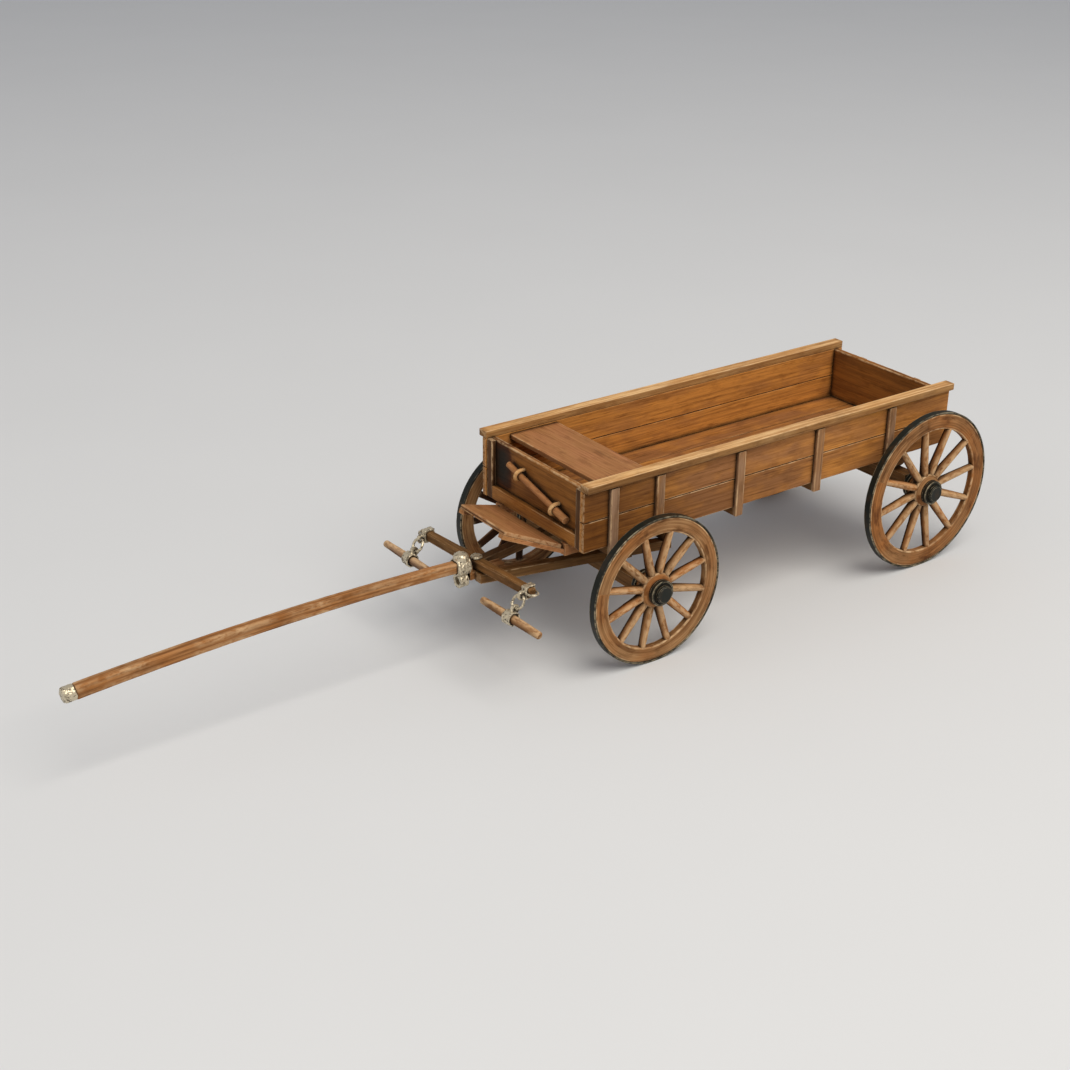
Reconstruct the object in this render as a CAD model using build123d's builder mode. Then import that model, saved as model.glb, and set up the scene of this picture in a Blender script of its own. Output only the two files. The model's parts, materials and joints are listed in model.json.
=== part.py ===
from build123d import *
import os
from math import cos, pi, radians, sin

# Scale model of a two-horse farm wagon, about 1:35. All sizes are in mm at model size.
# X runs forward along the pole, Y to the wagon's left and Z up from the floor it stands on.
# The origin is on that floor, under the middle of the whole length.

os.makedirs("parts", exist_ok=True)

LEFT = 1
RIGHT = -1
SIDES = (("left", LEFT), ("right", RIGHT))

# Layout, measured back from the front end of the box
BOX_LENGTH = 91.0
FRONT_SETBACK = 12.2
REAR_OVERHANG = 10.1
POLE_OVERHANG = 88.9
FRONT_R = 14.18
REAR_R = 16.25
TRACK = 42.1

REAR_SETBACK = BOX_LENGTH - REAR_OVERHANG
BOX_FRONT = (REAR_SETBACK + REAR_R - POLE_OVERHANG) / 2
KING_X = BOX_FRONT - FRONT_SETBACK
REAR_X = BOX_FRONT - REAR_SETBACK

# Box: two boards a side under a top rail, a planked floor and two ends
BOX_WIDTH = 31.2
BOX_BOTTOM = 22.3
SIDE_THICK = 1.2
LOWER_BOARD = 5.65
UPPER_BOARD = 5.75
SEAM = 0.1
RAIL_HEIGHT = 1.35
RAIL_OVERHANG = 1.05
RAIL_EDGE = 0.2
FLOOR_THICK = 1.0
FLOOR_COUNT = 5

BOX_REAR = BOX_FRONT - BOX_LENGTH
SIDE_OUT = BOX_WIDTH / 2
SIDE_IN = SIDE_OUT - SIDE_THICK
SEAM_Z = BOX_BOTTOM + LOWER_BOARD
RAIL_UNDER = SEAM_Z + SEAM + UPPER_BOARD
RAIL_TOP = RAIL_UNDER + RAIL_HEIGHT
FLOOR_TOP = BOX_BOTTOM + FLOOR_THICK

# Cleats nailed up the outside: end of the box, distance from it, and whether one stands on a sill end
CLEAT_WIDTH = 1.8
CLEAT_THICK = 0.8
CLEAT_GAP = 0.3
SILL_HEIGHT = 1.65
CLEATS = (
    (BOX_FRONT, -6.2, True), (BOX_FRONT, -16.5, False), (BOX_FRONT, -35.5, True),
    (BOX_REAR, 35.7, True), (BOX_REAR, 16.5, True),
)

# Ends of the box
END_INSET = 0.2
END_THICK = 1.0
POST_WIDTH = 1.6
POST_THICK = 1.0
FRONT_SILL_HEIGHT = 2.6
TAIL_INSET = 1.2
TAIL_THICK = 1.2
BATTEN_WIDTH = 1.8
BATTEN_SPREAD = 15.0

# Seat board between the sides
SEAT_SETBACK = 5.3
SEAT_DEPTH = 11.0
SEAT_THICK = 0.9
SEAT_DROP = 0.3
BEARER = 0.9

# Slanting rod held on the front end by two staples
ROD_R = 0.58
ROD_LENGTH = 18.2
ROD_SLOPE = radians(14.3)
ROD_GAP = 0.25
ROD_Y = 1.2
ROD_Z = 28.75
GRIP_R = 0.72
GRIP_LENGTH = 3.4
STAPLE_SPACING = 11.0
STAPLE_WIRE = 0.36
STAPLE_CLEAR = 0.06

# Footboard, rising forward from the box on two arms
FOOT_GAP = 0.6
FOOT_Z = 22.2
FOOT_SLOPE = radians(21.5)
FOOT_DEPTH = 10.6
FOOT_REAR = 10.3
FOOT_TIP = 6.9
FOOT_THICK = 0.75
FOOT_ARM_THICK = 0.8
FOOT_ARM_WIDTH = 1.4
FOOT_ARM_TAIL = 1.6
FOOT_BLOCK_BACK = 3.6
FOOT_BLOCK_FRONT = 0.3
FOOT_BLOCK_HEIGHT = 2.2

# Running gear, stacked up from the front axle
BEAM_THICK = 2.8
BEAM_TAPER = 0.8
FRONT_BEAM_RISE = 0.72
FRONT_BEAM_DROP = 1.9
REAR_BEAM_DROP = 1.4
HOUND_HEIGHT = 1.8
HOUND_WIDTH = 1.9
SAND_HEIGHT = 1.3
SAND_HALF = 12.4
RUB_GAP = 0.15
BOLSTER_INSET = 2.1
REACH_WIDTH = 2.0
REACH_HEIGHT = 1.5
REACH_NOSE = 2.4
REACH_TAIL = 5.0
REACH_FIT = 0.05
SWAY_BACK = 12.0
SWAY_WIDTH = 1.7
HOUND_SPREAD = 9.0
REAR_HOUND_SPREAD = 6.6
REAR_HOUND_LENGTH = 18.0

HOUND_Z0 = FRONT_R + FRONT_BEAM_RISE
HOUND_Z1 = HOUND_Z0 + HOUND_HEIGHT
SAND_Z1 = HOUND_Z1 + SAND_HEIGHT
BOLSTER_Z0 = SAND_Z1 + RUB_GAP
REACH_Z0 = BOLSTER_Z0 + REACH_FIT
REACH_Z1 = REACH_Z0 + REACH_HEIGHT
REACH_HALF = REACH_WIDTH / 2
BOLSTER_HALF = SIDE_OUT - BOLSTER_INSET

# King bolt that the fore-carriage turns on
KING_R = 0.6
KING_NUT_R = 1.2
KING_NUT = 0.6
PIN_FIT = 0.02
PIN_PLAY = 0.06

# Wheels and the axle arms they run on
ARM_R = 0.9
ARM_PLAY = 0.05
COLLAR_R = 1.5
COLLAR = 0.6
END_PLAY = 0.12
NUT_R = 1.65
NUT = 0.65
NUT_EDGE = 0.2
HUB_PROUD = 2.05
HUB_BEHIND = 3.73
HUB_R = 3.3
HUB_TAIL_R = 2.2
HUB_NOSE_R = 2.05
HUB_FLANGE = 1.7
HUB_SWELL = 0.14
HUB_COVE = 0.08
BAND_THICK = 0.35
BAND_WIDTH = 0.85
TYRE_WIDTH = 1.54
TYRE_THICK = 0.3
TYRE_FIT = 0.02
FELLOE_DEPTH_FRONT = 2.86
FELLOE_DEPTH_REAR = 3.14
FELLOE_INSET = 0.08
FELLOE_EDGE = 0.22
SPOKE_FOOT_R = 0.8
SPOKE_TIP_R = 0.66
DISH = 0.5
TENON = 0.3
SPOKE_COUNT = 12

WHEEL_Y = TRACK / 2
HUB_OUT = WHEEL_Y + HUB_PROUD
HUB_IN = WHEEL_Y - HUB_BEHIND
BEAM_HALF = HUB_IN - END_PLAY - COLLAR

# Wheel table: name, axle position, side, radius, depth of felloe, first spoke in degrees
WHEELS = (
    ("wheel_front_left", KING_X, LEFT, FRONT_R, FELLOE_DEPTH_FRONT, 16.0),
    ("wheel_front_right", KING_X, RIGHT, FRONT_R, FELLOE_DEPTH_FRONT, 0.0),
    ("wheel_rear_left", REAR_X, LEFT, REAR_R, FELLOE_DEPTH_REAR, 9.0),
    ("wheel_rear_right", REAR_X, RIGHT, REAR_R, FELLOE_DEPTH_REAR, 5.0),
)

# Pole, a gently bowed bar whose squared butt lies between the front ends of the hounds
POLE_WIDTH = 2.2
POLE_HEIGHT = 2.3
POLE_EDGE = 0.5
BUTT_AHEAD = 13.4
POLE_BUTT_Z = 17.9
POLE_MID_Z = 18.3
POLE_TIP_Z = 16.4
TENON_BACK = 7.0
TENON_DROP = 0.12
FERRULE_R = 1.35
FERRULE_LENGTH = 2.1
FERRULE_EDGE = 0.6
HOUND_AHEAD = 13.0

# Iron collar round the butt of the pole
POLE_COLLAR_R = 1.7
POLE_COLLAR_GAP = 0.3
POLE_COLLAR_LENGTH = 2.9
POLE_COLLAR_EDGE = 0.4
LUG_R = 1.35
LUG_TOP = 20.4
EYE_LENGTH = 1.7
EYE_R = 1.35
EYE_BORE = 0.75
EYE_Z = 15.2
EYE_CLEAR = 0.4

# Evener, turned a little on its bolt
EVENER_AHEAD = 11.85
EVENER_YAW = 4.5
EVENER_HALF = 15.5
EVENER_HEIGHT = 1.8
EVENER_DEPTH = 2.0
EVENER_END = 1.5
EVENER_EDGE = 0.25
EVENER_GAP = 0.15
BOLT_R = 0.45
BOLT_HEAD_R = 1.05
BOLT_HEAD = 0.4

# Clips at the ends of the evener, each with an eye in front of it
CLIP_INSET = 1.1
CLIP_THICK = 0.3
CLIP_WIDTH = 1.3
LOOP_WIRE = 0.22
LINK_HOLE = 0.45
LINK_R = 0.85
LINK_THICK = 0.6
LINK_AHEAD = 1.55
LINK_DROP = 0.35
CLIP_AT = EVENER_HALF - CLIP_INSET

# Singletrees, each hung in a ring: name, side, yaw in degrees
RING_R = 1.3
RING_WIRE = 0.25
HANG = radians(35.0)
CLASP_REACH = 1.65
CLASP_THICK = 0.3
CLASP_WIDTH = 2.0
TREE_R = 0.76
TREE_MIDDLE_R = 0.98
TREE_LENGTH = 16.2
TREE_EDGE = 0.2
SINGLETREES = (("singletree_left", LEFT, 5.5), ("singletree_right", RIGHT, -2.0))


def plank(x0, x1, y0, y1, z0, z1, mode=Mode.ADD):
    """A straight sawn piece between two corners, in the part being built."""
    with Locations(((x0 + x1) / 2, (y0 + y1) / 2, (z0 + z1) / 2)):
        Box(abs(x1 - x0), abs(y1 - y0), abs(z1 - z0), mode=mode)


def pin(x, y, z0, z1, radius, mode=Mode.ADD):
    """An upright round pin or hole, in the part being built."""
    with Locations((x, y, (z0 + z1) / 2)):
        Cylinder(radius, z1 - z0, mode=mode)


def save(piece, name):
    """Label a finished piece and write its STEP file."""
    piece.part.label = name
    export_step(piece.part, f"parts/{name}.step")


# Sides, rails and cleats
for side_name, side in SIDES:
    with BuildPart() as side_boards:
        plank(BOX_REAR, BOX_FRONT, side * SIDE_IN, side * SIDE_OUT, BOX_BOTTOM, SEAM_Z)
        plank(BOX_REAR, BOX_FRONT, side * SIDE_IN, side * SIDE_OUT, SEAM_Z + SEAM, RAIL_UNDER)
    save(side_boards, f"side_{side_name}_boards")

    with BuildPart() as rail:
        rail_out = side * (SIDE_OUT + RAIL_OVERHANG)
        plank(BOX_REAR, BOX_FRONT, side * SIDE_IN, rail_out, RAIL_UNDER, RAIL_TOP)
        chamfer(rail.edges().filter_by(Axis.X).group_by(Axis.Z)[-1], RAIL_EDGE)
    save(rail, f"rail_{side_name}")

with BuildPart() as side_cleats:
    for side_name, side in SIDES:
        for end, distance, on_sill in CLEATS:
            x = end + distance
            foot = BOX_BOTTOM - SILL_HEIGHT if on_sill else BOX_BOTTOM
            plank(
                x - CLEAT_WIDTH / 2, x + CLEAT_WIDTH / 2,
                side * SIDE_OUT, side * (SIDE_OUT + CLEAT_THICK), foot, RAIL_UNDER - CLEAT_GAP,
            )
save(side_cleats, "side_cleats")

# Cross sills under the floor, and the floor boards
with BuildPart() as cross_sills:
    for end, distance, on_sill in CLEATS:
        x = end + distance
        if on_sill:
            plank(
                x - CLEAT_WIDTH / 2, x + CLEAT_WIDTH / 2,
                -SIDE_OUT, SIDE_OUT, BOX_BOTTOM - SILL_HEIGHT, BOX_BOTTOM,
            )
save(cross_sills, "cross_sills")

FRONT_FACE = BOX_FRONT - END_INSET - POST_THICK
FRONT_BACK = FRONT_FACE - END_THICK
FLOOR_PITCH = (2 * SIDE_IN - SEAM) / FLOOR_COUNT

with BuildPart() as floor_boards:
    for board in range(FLOOR_COUNT):
        edge = -SIDE_IN + SEAM + board * FLOOR_PITCH
        plank(BOX_REAR, FRONT_BACK, edge, edge + FLOOR_PITCH - SEAM, BOX_BOTTOM, FLOOR_TOP)
save(floor_boards, "floor_boards")

# Front end: a board behind two corner posts and a bottom sill
with BuildPart() as front_board:
    plank(FRONT_BACK, FRONT_FACE, -SIDE_IN, SIDE_IN, BOX_BOTTOM, RAIL_UNDER)
save(front_board, "front_board")

POST_IN = SIDE_IN - POST_WIDTH
with BuildPart() as front_posts:
    for side_name, side in SIDES:
        plank(
            FRONT_FACE, BOX_FRONT - END_INSET,
            side * POST_IN, side * SIDE_IN, BOX_BOTTOM, RAIL_UNDER,
        )
save(front_posts, "front_posts")

with BuildPart() as front_sill:
    plank(
        FRONT_FACE, BOX_FRONT - END_INSET,
        -POST_IN, POST_IN, BOX_BOTTOM, BOX_BOTTOM + FRONT_SILL_HEIGHT,
    )
save(front_sill, "front_sill")

# Tailgate standing on the floor, with two battens behind it
TAIL_BACK = BOX_REAR + TAIL_INSET
with BuildPart() as tailgate_board:
    plank(TAIL_BACK, TAIL_BACK + TAIL_THICK, -SIDE_IN, SIDE_IN, FLOOR_TOP, RAIL_UNDER)
save(tailgate_board, "tailgate_board")

with BuildPart() as tailgate_battens:
    for side_name, side in SIDES:
        middle = side * BATTEN_SPREAD / 2
        plank(
            TAIL_BACK - CLEAT_THICK, TAIL_BACK,
            middle - BATTEN_WIDTH / 2, middle + BATTEN_WIDTH / 2, FLOOR_TOP, RAIL_UNDER - CLEAT_GAP,
        )
save(tailgate_battens, "tailgate_battens")

# Seat board on two bearers
SEAT_FRONT = BOX_FRONT - SEAT_SETBACK
SEAT_TOP = RAIL_UNDER - SEAT_DROP
SEAT_UNDER = SEAT_TOP - SEAT_THICK
with BuildPart() as seat_board:
    plank(SEAT_FRONT - SEAT_DEPTH, SEAT_FRONT, -SIDE_IN, SIDE_IN, SEAT_UNDER, SEAT_TOP)
save(seat_board, "seat_board")

with BuildPart() as seat_bearers:
    for side_name, side in SIDES:
        plank(
            SEAT_FRONT - SEAT_DEPTH + BEARER, SEAT_FRONT - BEARER,
            side * (SIDE_IN - BEARER), side * SIDE_IN, SEAT_UNDER - BEARER, SEAT_UNDER,
        )
save(seat_bearers, "seat_bearers")

# Slanting rod and its staples
ROD_STAND = ROD_R + ROD_GAP
ROD_CENTRE = Vector(FRONT_FACE + ROD_STAND, ROD_Y, ROD_Z)
ROD_DIRECTION = Vector(0, cos(ROD_SLOPE), -sin(ROD_SLOPE))
with BuildPart() as rod:
    rod_start = ROD_CENTRE - ROD_DIRECTION * (ROD_LENGTH / 2)
    with BuildSketch(Plane(origin=rod_start, z_dir=ROD_DIRECTION)):
        Circle(ROD_R)
    extrude(amount=ROD_LENGTH)
    grip_start = ROD_CENTRE + ROD_DIRECTION * (ROD_LENGTH / 2 - GRIP_LENGTH)
    with BuildSketch(Plane(origin=grip_start, z_dir=ROD_DIRECTION)):
        Circle(GRIP_R)
    extrude(amount=GRIP_LENGTH)
save(rod, "rod")

STAPLE_R = ROD_R + STAPLE_CLEAR + STAPLE_WIRE
with BuildPart() as rod_staples:
    for end in (-1, 1):
        staple_centre = ROD_CENTRE + ROD_DIRECTION * (end * STAPLE_SPACING / 2)
        staple_plane = Plane(origin=staple_centre, x_dir=(1, 0, 0), z_dir=ROD_DIRECTION)
        with BuildLine(staple_plane) as staple_path:
            Line((-ROD_STAND, STAPLE_R), (0, STAPLE_R))
            ThreePointArc((0, STAPLE_R), (STAPLE_R, 0), (0, -STAPLE_R))
            Line((0, -STAPLE_R), (-ROD_STAND, -STAPLE_R))
        staple_root = staple_plane.from_local_coords(Vector(-ROD_STAND, STAPLE_R, 0))
        with BuildSketch(Plane(origin=staple_root, z_dir=(1, 0, 0))):
            Circle(STAPLE_WIRE)
        sweep()
save(rod_staples, "rod_staples")

# Footboard and the two arms that carry it
FOOT_PLANE = Plane(
    origin=(BOX_FRONT + FOOT_GAP, 0, FOOT_Z),
    x_dir=(cos(FOOT_SLOPE), 0, sin(FOOT_SLOPE)),
    z_dir=(-sin(FOOT_SLOPE), 0, cos(FOOT_SLOPE)),
)
FOOT_TAPER = (FOOT_REAR - FOOT_TIP) / FOOT_DEPTH
with BuildPart() as footboard:
    with BuildSketch(FOOT_PLANE):
        Polygon(
            (0, -FOOT_REAR), (FOOT_DEPTH, -FOOT_TIP), (FOOT_DEPTH, FOOT_TIP), (0, FOOT_REAR)
        )
    extrude(amount=-FOOT_THICK)
save(footboard, "footboard")

FOOT_ARM_OUT = FOOT_REAR + FOOT_TAPER * FOOT_ARM_TAIL
with BuildPart() as footboard_arms:
    with BuildSketch(FOOT_PLANE.offset(-FOOT_THICK)):
        for side_name, side in SIDES:
            Polygon(
                (-FOOT_ARM_TAIL, side * (FOOT_ARM_OUT - FOOT_ARM_WIDTH)),
                (FOOT_DEPTH, side * (FOOT_TIP - FOOT_ARM_WIDTH)),
                (FOOT_DEPTH, side * FOOT_TIP),
                (-FOOT_ARM_TAIL, side * FOOT_ARM_OUT),
            )
    extrude(amount=-FOOT_ARM_THICK)
    for side_name, side in SIDES:
        plank(
            BOX_FRONT - FOOT_BLOCK_BACK, BOX_FRONT + FOOT_BLOCK_FRONT,
            side * (FOOT_ARM_OUT - FOOT_ARM_WIDTH), side * FOOT_ARM_OUT,
            BOX_BOTTOM - FOOT_BLOCK_HEIGHT, BOX_BOTTOM,
        )
save(footboard_arms, "footboard_arms")

# Bolsters under the box, notched over the reach
for bolster_name, x in (("front", KING_X), ("rear", REAR_X)):
    with BuildPart() as bolster:
        plank(
            x - BEAM_THICK / 2, x + BEAM_THICK / 2,
            -BOLSTER_HALF, BOLSTER_HALF, BOLSTER_Z0, BOX_BOTTOM,
        )
        chamfer(bolster.edges().filter_by(Axis.X).group_by(Axis.Z)[0], BEAM_TAPER)
        plank(
            x - BEAM_THICK / 2, x + BEAM_THICK / 2,
            -REACH_HALF - REACH_FIT, REACH_HALF + REACH_FIT,
            BOLSTER_Z0, REACH_Z1 + REACH_FIT, mode=Mode.SUBTRACT,
        )
        if bolster_name == "front":
            pin(x, 0, BOLSTER_Z0, BOX_BOTTOM, KING_R + PIN_FIT, mode=Mode.SUBTRACT)
    save(bolster, f"{bolster_name}_bolster")

# Reach from the king bolt to behind the rear axle, and the rear hounds that brace it
with BuildPart() as reach:
    plank(REAR_X - REACH_TAIL, KING_X + REACH_NOSE, -REACH_HALF, REACH_HALF, REACH_Z0, REACH_Z1)
    pin(KING_X, 0, REACH_Z0, REACH_Z1, KING_R + PIN_FIT, mode=Mode.SUBTRACT)
save(reach, "reach")

REAR_FACE = REAR_X + BEAM_THICK / 2
with BuildPart() as rear_hounds:
    rear_out = REAR_HOUND_SPREAD + HOUND_WIDTH
    slope = (rear_out - REACH_HALF) / REAR_HOUND_LENGTH
    with BuildSketch(Plane.XY.offset(REACH_Z0)):
        for side_name, side in SIDES:
            Polygon(
                (REAR_FACE, side * REAR_HOUND_SPREAD),
                (REAR_FACE, side * rear_out),
                (REAR_FACE + REAR_HOUND_LENGTH, side * REACH_HALF),
                (REAR_FACE + (REAR_HOUND_SPREAD - REACH_HALF) / slope, side * REACH_HALF),
            )
    extrude(amount=REACH_HEIGHT)
save(rear_hounds, "rear_hounds")

# King bolt with its nut under the front axle
FRONT_BEAM_Z0 = FRONT_R - FRONT_BEAM_DROP
with BuildPart() as king_bolt:
    nut_top = FRONT_BEAM_Z0 - PIN_PLAY
    pin(KING_X, 0, nut_top - KING_NUT, BOX_BOTTOM, KING_R)
    pin(KING_X, 0, nut_top - KING_NUT, nut_top, KING_NUT_R)
save(king_bolt, "king_bolt")

# Axle beams
with BuildPart() as front_axle_beam:
    plank(
        KING_X - BEAM_THICK / 2, KING_X + BEAM_THICK / 2,
        -BEAM_HALF, BEAM_HALF, FRONT_BEAM_Z0, HOUND_Z0,
    )
    chamfer(front_axle_beam.edges().filter_by(Axis.X).group_by(Axis.Z)[0], BEAM_TAPER)
    pin(KING_X, 0, FRONT_BEAM_Z0, HOUND_Z0, KING_R + PIN_PLAY, mode=Mode.SUBTRACT)
save(front_axle_beam, "front_axle_beam")

with BuildPart() as rear_axle_beam:
    plank(
        REAR_X - BEAM_THICK / 2, REAR_X + BEAM_THICK / 2,
        -BEAM_HALF, BEAM_HALF, REAR_R - REAR_BEAM_DROP, BOLSTER_Z0,
    )
    chamfer(rear_axle_beam.edges().filter_by(Axis.X).group_by(Axis.Z)[0], BEAM_TAPER)
save(rear_axle_beam, "rear_axle_beam")

# Iron axle arms: a collar at the beam, the round arm, and a nut outside the hub
for axle_name, x, height in (("front", KING_X, FRONT_R), ("rear", REAR_X, REAR_R)):
    with BuildPart() as axle_arms:
        for side_name, side in SIDES:
            shoulder = BEAM_HALF + COLLAR
            nut_in = HUB_OUT + END_PLAY
            nut_out = nut_in + NUT
            with BuildSketch(Plane(origin=(x, 0, height), x_dir=(1, 0, 0), z_dir=(0, 0, side))):
                Polygon(
                    (0, BEAM_HALF), (COLLAR_R, BEAM_HALF), (COLLAR_R, shoulder), (ARM_R, shoulder),
                    (ARM_R, nut_in), (NUT_R, nut_in), (NUT_R, nut_out - NUT_EDGE),
                    (NUT_R - NUT_EDGE, nut_out), (0, nut_out),
                )
            revolve(axis=Axis((x, 0, height), (0, side, 0)))
    save(axle_arms, f"{axle_name}_axle_arms")

# Wheels: hub, hub bands, felloe ring, tyre and spokes
FLANGE_IN = WHEEL_Y - DISH - HUB_FLANGE / 2
FLANGE_OUT = WHEEL_Y - DISH + HUB_FLANGE / 2
TAIL_END = HUB_IN + BAND_WIDTH
NOSE_START = HUB_OUT - BAND_WIDTH
for name, x, side, radius, felloe_depth, first_spoke in WHEELS:
    felloe_out = radius - TYRE_THICK - TYRE_FIT
    felloe_in = radius - TYRE_THICK - felloe_depth + TYRE_FIT
    frame = Plane(origin=(x, side * WHEEL_Y, radius), x_dir=(1, 0, 0), z_dir=(0, side, 0))
    section = Plane(origin=(x, 0, radius), x_dir=(1, 0, 0), z_dir=(0, 0, side))
    axle = Axis((x, 0, radius), (0, side, 0))
    bore = ARM_R + ARM_PLAY

    with BuildPart() as hub:
        with BuildSketch(section):
            with BuildLine():
                Polyline((bore, HUB_IN), (HUB_TAIL_R, HUB_IN), (HUB_TAIL_R, TAIL_END))
                SagittaArc((HUB_TAIL_R, TAIL_END), (HUB_R, FLANGE_IN), HUB_SWELL)
                Line((HUB_R, FLANGE_IN), (HUB_R, FLANGE_OUT))
                SagittaArc((HUB_R, FLANGE_OUT), (HUB_NOSE_R, NOSE_START), -HUB_COVE)
                Polyline((HUB_NOSE_R, NOSE_START), (HUB_NOSE_R, HUB_OUT), (bore, HUB_OUT), (bore, HUB_IN))
            make_face()
        revolve(axis=axle)
    save(hub, f"{name}_hub")

    with BuildPart() as hub_bands:
        for band_start, band_in in ((HUB_IN, HUB_TAIL_R), (NOSE_START, HUB_NOSE_R)):
            with BuildSketch(frame.offset(band_start - WHEEL_Y)):
                Circle(band_in + PIN_FIT + BAND_THICK)
                Circle(band_in + PIN_FIT, mode=Mode.SUBTRACT)
            extrude(amount=BAND_WIDTH)
    save(hub_bands, f"{name}_hub_bands")

    with BuildPart() as felloe:
        felloe_width = TYRE_WIDTH - 2 * FELLOE_INSET
        with BuildSketch(frame.offset(-felloe_width / 2)):
            Circle(felloe_out)
            Circle(felloe_in, mode=Mode.SUBTRACT)
        extrude(amount=felloe_width)
        inner_edges = felloe.edges().filter_by(GeomType.CIRCLE).group_by(SortBy.RADIUS)[0]
        chamfer(inner_edges, FELLOE_EDGE)
    save(felloe, f"{name}_felloe")

    with BuildPart() as tyre:
        with BuildSketch(frame.offset(-TYRE_WIDTH / 2)):
            Circle(radius)
            Circle(radius - TYRE_THICK, mode=Mode.SUBTRACT)
        extrude(amount=TYRE_WIDTH)
    save(tyre, f"{name}_tyre")

    with BuildPart() as spokes:
        foot_r = HUB_R - TENON
        tip_r = felloe_in + TENON
        for spoke in range(SPOKE_COUNT):
            turn = radians(first_spoke) + 2 * pi * spoke / SPOKE_COUNT
            foot = frame.from_local_coords(Vector(foot_r * cos(turn), foot_r * sin(turn), -DISH))
            tip = frame.from_local_coords(Vector(tip_r * cos(turn), tip_r * sin(turn), 0))
            with Locations(Plane(origin=foot, z_dir=tip - foot)):
                Cone(
                    SPOKE_FOOT_R, SPOKE_TIP_R, (tip - foot).length,
                    align=(Align.CENTER, Align.CENTER, Align.MIN),
                )
        add(hub.part, mode=Mode.SUBTRACT)
        add(felloe.part, mode=Mode.SUBTRACT)
    save(spokes, f"{name}_spokes")

# Fore-carriage: hounds from the pole back over the axle, sand board, sway bar
HOUND_FRONT = BOX_FRONT + HOUND_AHEAD
HOUND_REAR = KING_X - SWAY_BACK
TENON_HALF = POLE_WIDTH / 2
with BuildPart() as front_hounds:
    front_in = TENON_HALF + REACH_FIT
    with BuildSketch(Plane.XY.offset(HOUND_Z0)):
        for side_name, side in SIDES:
            Polygon(
                (HOUND_FRONT, side * front_in), (HOUND_FRONT, side * (front_in + HOUND_WIDTH)),
                (HOUND_REAR, side * (HOUND_SPREAD + HOUND_WIDTH)), (HOUND_REAR, side * HOUND_SPREAD),
            )
    extrude(amount=HOUND_HEIGHT)
save(front_hounds, "front_hounds")

with BuildPart() as sand_board:
    plank(
        KING_X - BEAM_THICK / 2, KING_X + BEAM_THICK / 2,
        -SAND_HALF, SAND_HALF, HOUND_Z1, SAND_Z1,
    )
    pin(KING_X, 0, HOUND_Z1, SAND_Z1, KING_R + PIN_PLAY, mode=Mode.SUBTRACT)
save(sand_board, "sand_board")

with BuildPart() as sway_bar:
    sway_half = HOUND_SPREAD + HOUND_WIDTH
    plank(HOUND_REAR, HOUND_REAR + SWAY_WIDTH, -sway_half, sway_half, HOUND_Z1, SAND_Z1)
save(sway_bar, "sway_bar")

# Pole and its tip
BUTT_X = BOX_FRONT + BUTT_AHEAD
POLE_END_X = BOX_FRONT + POLE_OVERHANG - FERRULE_LENGTH
EVENER_X = BOX_FRONT + EVENER_AHEAD
TENON_Z0 = HOUND_Z0 + TENON_DROP
TENON_Z1 = HOUND_Z1 - TENON_DROP
COLLAR_X = BUTT_X + POLE_COLLAR_GAP
COLLAR_MID = COLLAR_X + POLE_COLLAR_LENGTH / 2
EYE_X = COLLAR_MID - EYE_LENGTH / 2
with BuildPart() as pole:
    with BuildLine() as pole_path:
        ThreePointArc(
            (BUTT_X, 0, POLE_BUTT_Z),
            ((BUTT_X + POLE_END_X) / 2, 0, POLE_MID_Z),
            (POLE_END_X, 0, POLE_TIP_Z),
        )
    with BuildSketch(Plane(origin=pole_path.line @ 0, x_dir=(0, 1, 0), z_dir=pole_path.line % 0)):
        RectangleRounded(POLE_WIDTH, POLE_HEIGHT, POLE_EDGE)
    sweep()
    plank(
        BUTT_X - TENON_BACK, EYE_X - EYE_CLEAR,
        -TENON_HALF, TENON_HALF, TENON_Z0, TENON_Z1,
    )
    plank(BUTT_X, EYE_X - EYE_CLEAR, -TENON_HALF, TENON_HALF, TENON_Z0, POLE_BUTT_Z)
    pin(EVENER_X, 0, TENON_Z0, TENON_Z1, BOLT_R + PIN_FIT, mode=Mode.SUBTRACT)
save(pole, "pole")

with BuildPart() as pole_ferrule:
    with BuildSketch(Plane(origin=pole_path.line @ 1, z_dir=pole_path.line % 1)):
        Circle(FERRULE_R)
    extrude(amount=FERRULE_LENGTH)
    fillet(pole_ferrule.faces().sort_by(Axis.X)[-1].edges(), FERRULE_EDGE)
save(pole_ferrule, "pole_ferrule")

# Iron collar: a band round the butt, a domed lug on top and an eye below
with BuildPart() as pole_collar:
    with BuildSketch(Plane(origin=(COLLAR_X, 0, POLE_BUTT_Z), z_dir=(1, 0, 0))):
        Circle(POLE_COLLAR_R)
    extrude(amount=POLE_COLLAR_LENGTH)
    fillet(pole_collar.edges().filter_by(GeomType.CIRCLE), POLE_COLLAR_EDGE)
    pin(COLLAR_MID, 0, POLE_BUTT_Z, LUG_TOP, LUG_R)
    fillet(pole_collar.faces().sort_by(Axis.Z)[-1].edges(), LUG_R / 2)
    with BuildSketch(Plane(origin=(EYE_X, 0, EYE_Z), z_dir=(1, 0, 0))):
        Circle(EYE_R)
    extrude(amount=EYE_LENGTH)
    with BuildSketch(Plane(origin=(EYE_X, 0, EYE_Z), z_dir=(1, 0, 0))):
        Circle(EYE_BORE)
    extrude(amount=EYE_LENGTH, mode=Mode.SUBTRACT)
    add(pole.part, mode=Mode.SUBTRACT)
save(pole_collar, "pole_collar")

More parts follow.
